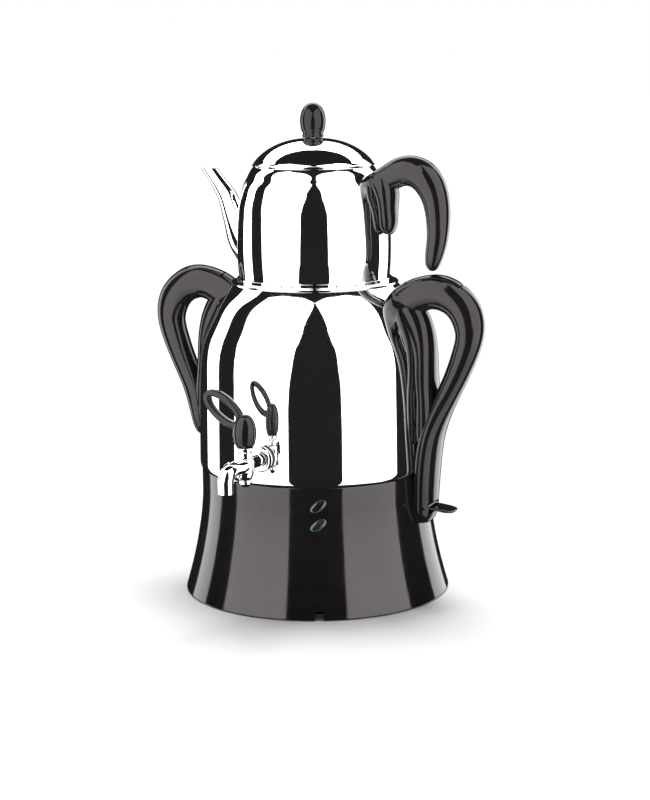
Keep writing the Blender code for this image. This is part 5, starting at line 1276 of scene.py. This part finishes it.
def glow(name, level):
    """Even light of one grey, for the studio's panels and cards."""
    made = bpy.data.materials.new(name)
    made.use_nodes = True
    nodes = made.node_tree.nodes
    nodes.clear()
    light = nodes.new("ShaderNodeEmission")
    light.inputs["Color"].default_value = (level, level, level, 1.0)
    made.node_tree.links.new(light.outputs[0], nodes.new("ShaderNodeOutputMaterial").inputs["Surface"])
    return made


def shine_only(piece):
    """Makes a studio piece seen in reflections alone."""
    piece.visible_camera = False
    piece.visible_diffuse = False
    piece.visible_transmission = False
    piece.visible_shadow = False
    piece.visible_volume_scatter = False


def upright_sheet(name, radius, grid, material):
    """Sheet on a round wall through rows of (angle from the camera's side in degrees, height) pairs."""
    points = [(radius * math.sin(math.radians(angle) + CAMERA_TURN), -radius
        * math.cos(math.radians(angle) + CAMERA_TURN),
               height) for row in grid for angle, height in row]
    width = len(grid[0])
    faces = [(here, here + 1, here + width + 1, here + width) for row in range(len(grid) - 1)
             for here in range(row * width, (row + 1) * width - 1)]
    mesh = bpy.data.meshes.new(name)
    mesh.from_pydata(points, [], faces)
    piece = bpy.data.objects.new(name, mesh)
    bpy.context.scene.collection.objects.link(piece)
    mesh.materials.append(material)
    shine_only(piece)


def card(name, left_edge, right_edge, distance=TENT_RADIUS - TENT_GAP):
    """Black card before the tent's wall, between two edges of (angle, height) pairs."""
    grid = []
    for height in sorted({height for _, height in left_edge + right_edge}):
        left, right = (np.interp(height, [high for _, high in edge], [angle for angle, _ in edge])
                       for edge in (left_edge, right_edge))
        grid.append([(angle, height) for angle in np.linspace(left, right, 24)])
    upright_sheet(name, distance, grid, card_black)


panel_white = glow("tent_panel_white", 1.0)
panel_nodes = panel_white.node_tree.nodes
panel_height = panel_nodes.new("ShaderNodeSeparateXYZ")
panel_white.node_tree.links.new(panel_nodes.new("ShaderNodeTexCoord").outputs["Object"],
    panel_height.inputs[0])
ranged(panel_white, panel_height.outputs["Z"], PANEL_FOOT_GLOW, PANEL_GLOW,
    panel_nodes["Emission"].inputs["Strength"],
       *PANEL_FOOT_RANGE)
card_black = glow("tent_card_black", CARD_SHADE)
around = np.linspace(-180.0, 180.0, TENT_STEPS + 1)
tent_top = np.interp(around, *zip(*TENT_TOP_EDGE))
upright_sheet("tent_wall", TENT_RADIUS, [[(a, TENT_FOOT) for a in around], list(zip(around, tent_top))],
    panel_white)
room_radius = TENT_RADIUS + TENT_GAP
room = turned("room_walls",
    [(0.0, TENT_FOOT), (room_radius, TENT_FOOT), (room_radius, ROOM_HEIGHT), (0.0, ROOM_HEIGHT)],
              96, closed=False)
room.data.materials.append(card_black)
shine_only(room)
card("centre_card", *CENTRE_CARD_EDGES)
card("arch_card", *ARCH_CARD_EDGES, distance=ARCH_CARD_DISTANCE)
card("left_card", *LEFT_CARD_EDGES)
card("right_card", *RIGHT_CARD_EDGES)
card("back_card", *BACK_CARD_EDGES)
valley_mesh = bpy.data.meshes.new("valley_card")
valley_mesh.from_pydata(
    [(side * wide, -VALLEY_DISTANCE, high) for wide, high in VALLEY_EDGE for side in (-1, 1)], [],
    [(i, i + 1, i + 3, i + 2) for i in range(0, 2 * len(VALLEY_EDGE) - 2, 2)])
valley_mesh.transform(Matrix.Rotation(CAMERA_TURN, 4, "Z"))
valley_card = bpy.data.objects.new("valley_card", valley_mesh)
bpy.context.scene.collection.objects.link(valley_card)
valley_mesh.materials.append(card_black)
shine_only(valley_card)

floor_mesh = bpy.data.meshes.new("studio_floor")
floor_mesh.from_pydata([(-FLOOR_RADIUS, -FLOOR_RADIUS, 0.0), (FLOOR_RADIUS, -FLOOR_RADIUS, 0.0),
                        (FLOOR_RADIUS, FLOOR_RADIUS, 0.0), (-FLOOR_RADIUS, FLOOR_RADIUS, 0.0)], [],
                        [(0, 1, 2, 3)])
studio_floor = bpy.data.objects.new("studio_floor", floor_mesh)
bpy.context.scene.collection.objects.link(studio_floor)
floor_paint = bpy.data.materials.new("studio_floor_white")
floor_paint.use_nodes = True
floor_shader = floor_paint.node_tree.nodes["Principled BSDF"]
floor_shader.inputs["Base Color"].default_value = (0.90, 0.90, 0.90, 1.0)
floor_shader.inputs["Roughness"].default_value = 0.9
floor_shader.inputs["Specular IOR Level"].default_value = 0.0
floor_mesh.materials.append(floor_paint)
studio_floor.visible_glossy = False

world = bpy.data.worlds.new("studio_air")
bpy.context.scene.world = world
world.use_nodes = True
air_nodes, air_links = world.node_tree.nodes, world.node_tree.links
air = air_nodes["Background"]
air.inputs["Color"].default_value = (1.0, 1.0, 1.0, 1.0)
air_level = air_nodes.new("ShaderNodeMapRange")
air_level.inputs["To Min"].default_value = AIR_GLOW
air_links.new(air_nodes.new("ShaderNodeLightPath").outputs["Is Camera Ray"], air_level.inputs["Value"])
air_links.new(air_level.outputs["Result"], air.inputs["Strength"])
lamp_data = bpy.data.lights.new("soft_back_lamp", "SUN")
lamp_data.energy = SUN_POWER
lamp_data.angle = SUN_SPREAD
lamp = bpy.data.objects.new("soft_back_lamp", lamp_data)
lamp.matrix_world = Matrix.Rotation(CAMERA_TURN + SUN_SIDE, 4, "Z") @ Matrix.Rotation(-SUN_LEAN, 4, "X")
lamp.visible_glossy = False
bpy.context.scene.collection.objects.link(lamp)

camera_data = bpy.data.cameras.new("camera")
camera_data.lens = CAMERA_LENS
camera_data.sensor_width = 36.0
camera_data.sensor_fit = "AUTO"
camera_data.shift_x = CAMERA_SHIFT
camera = bpy.data.objects.new("camera", camera_data)
camera.matrix_world = (
    Matrix.Rotation(CAMERA_TURN, 4, "Z") @ Matrix.Translation((0.0, -CAMERA_DISTANCE, CAMERA_HEIGHT))
    @ Matrix.Rotation(math.pi / 2 - CAMERA_PITCH, 4, "X") @ Matrix.Rotation(CAMERA_ROLL, 4, "Z")
)
bpy.context.scene.collection.objects.link(camera)
bpy.context.scene.camera = camera
bpy.context.scene.view_settings.view_transform = "Standard"
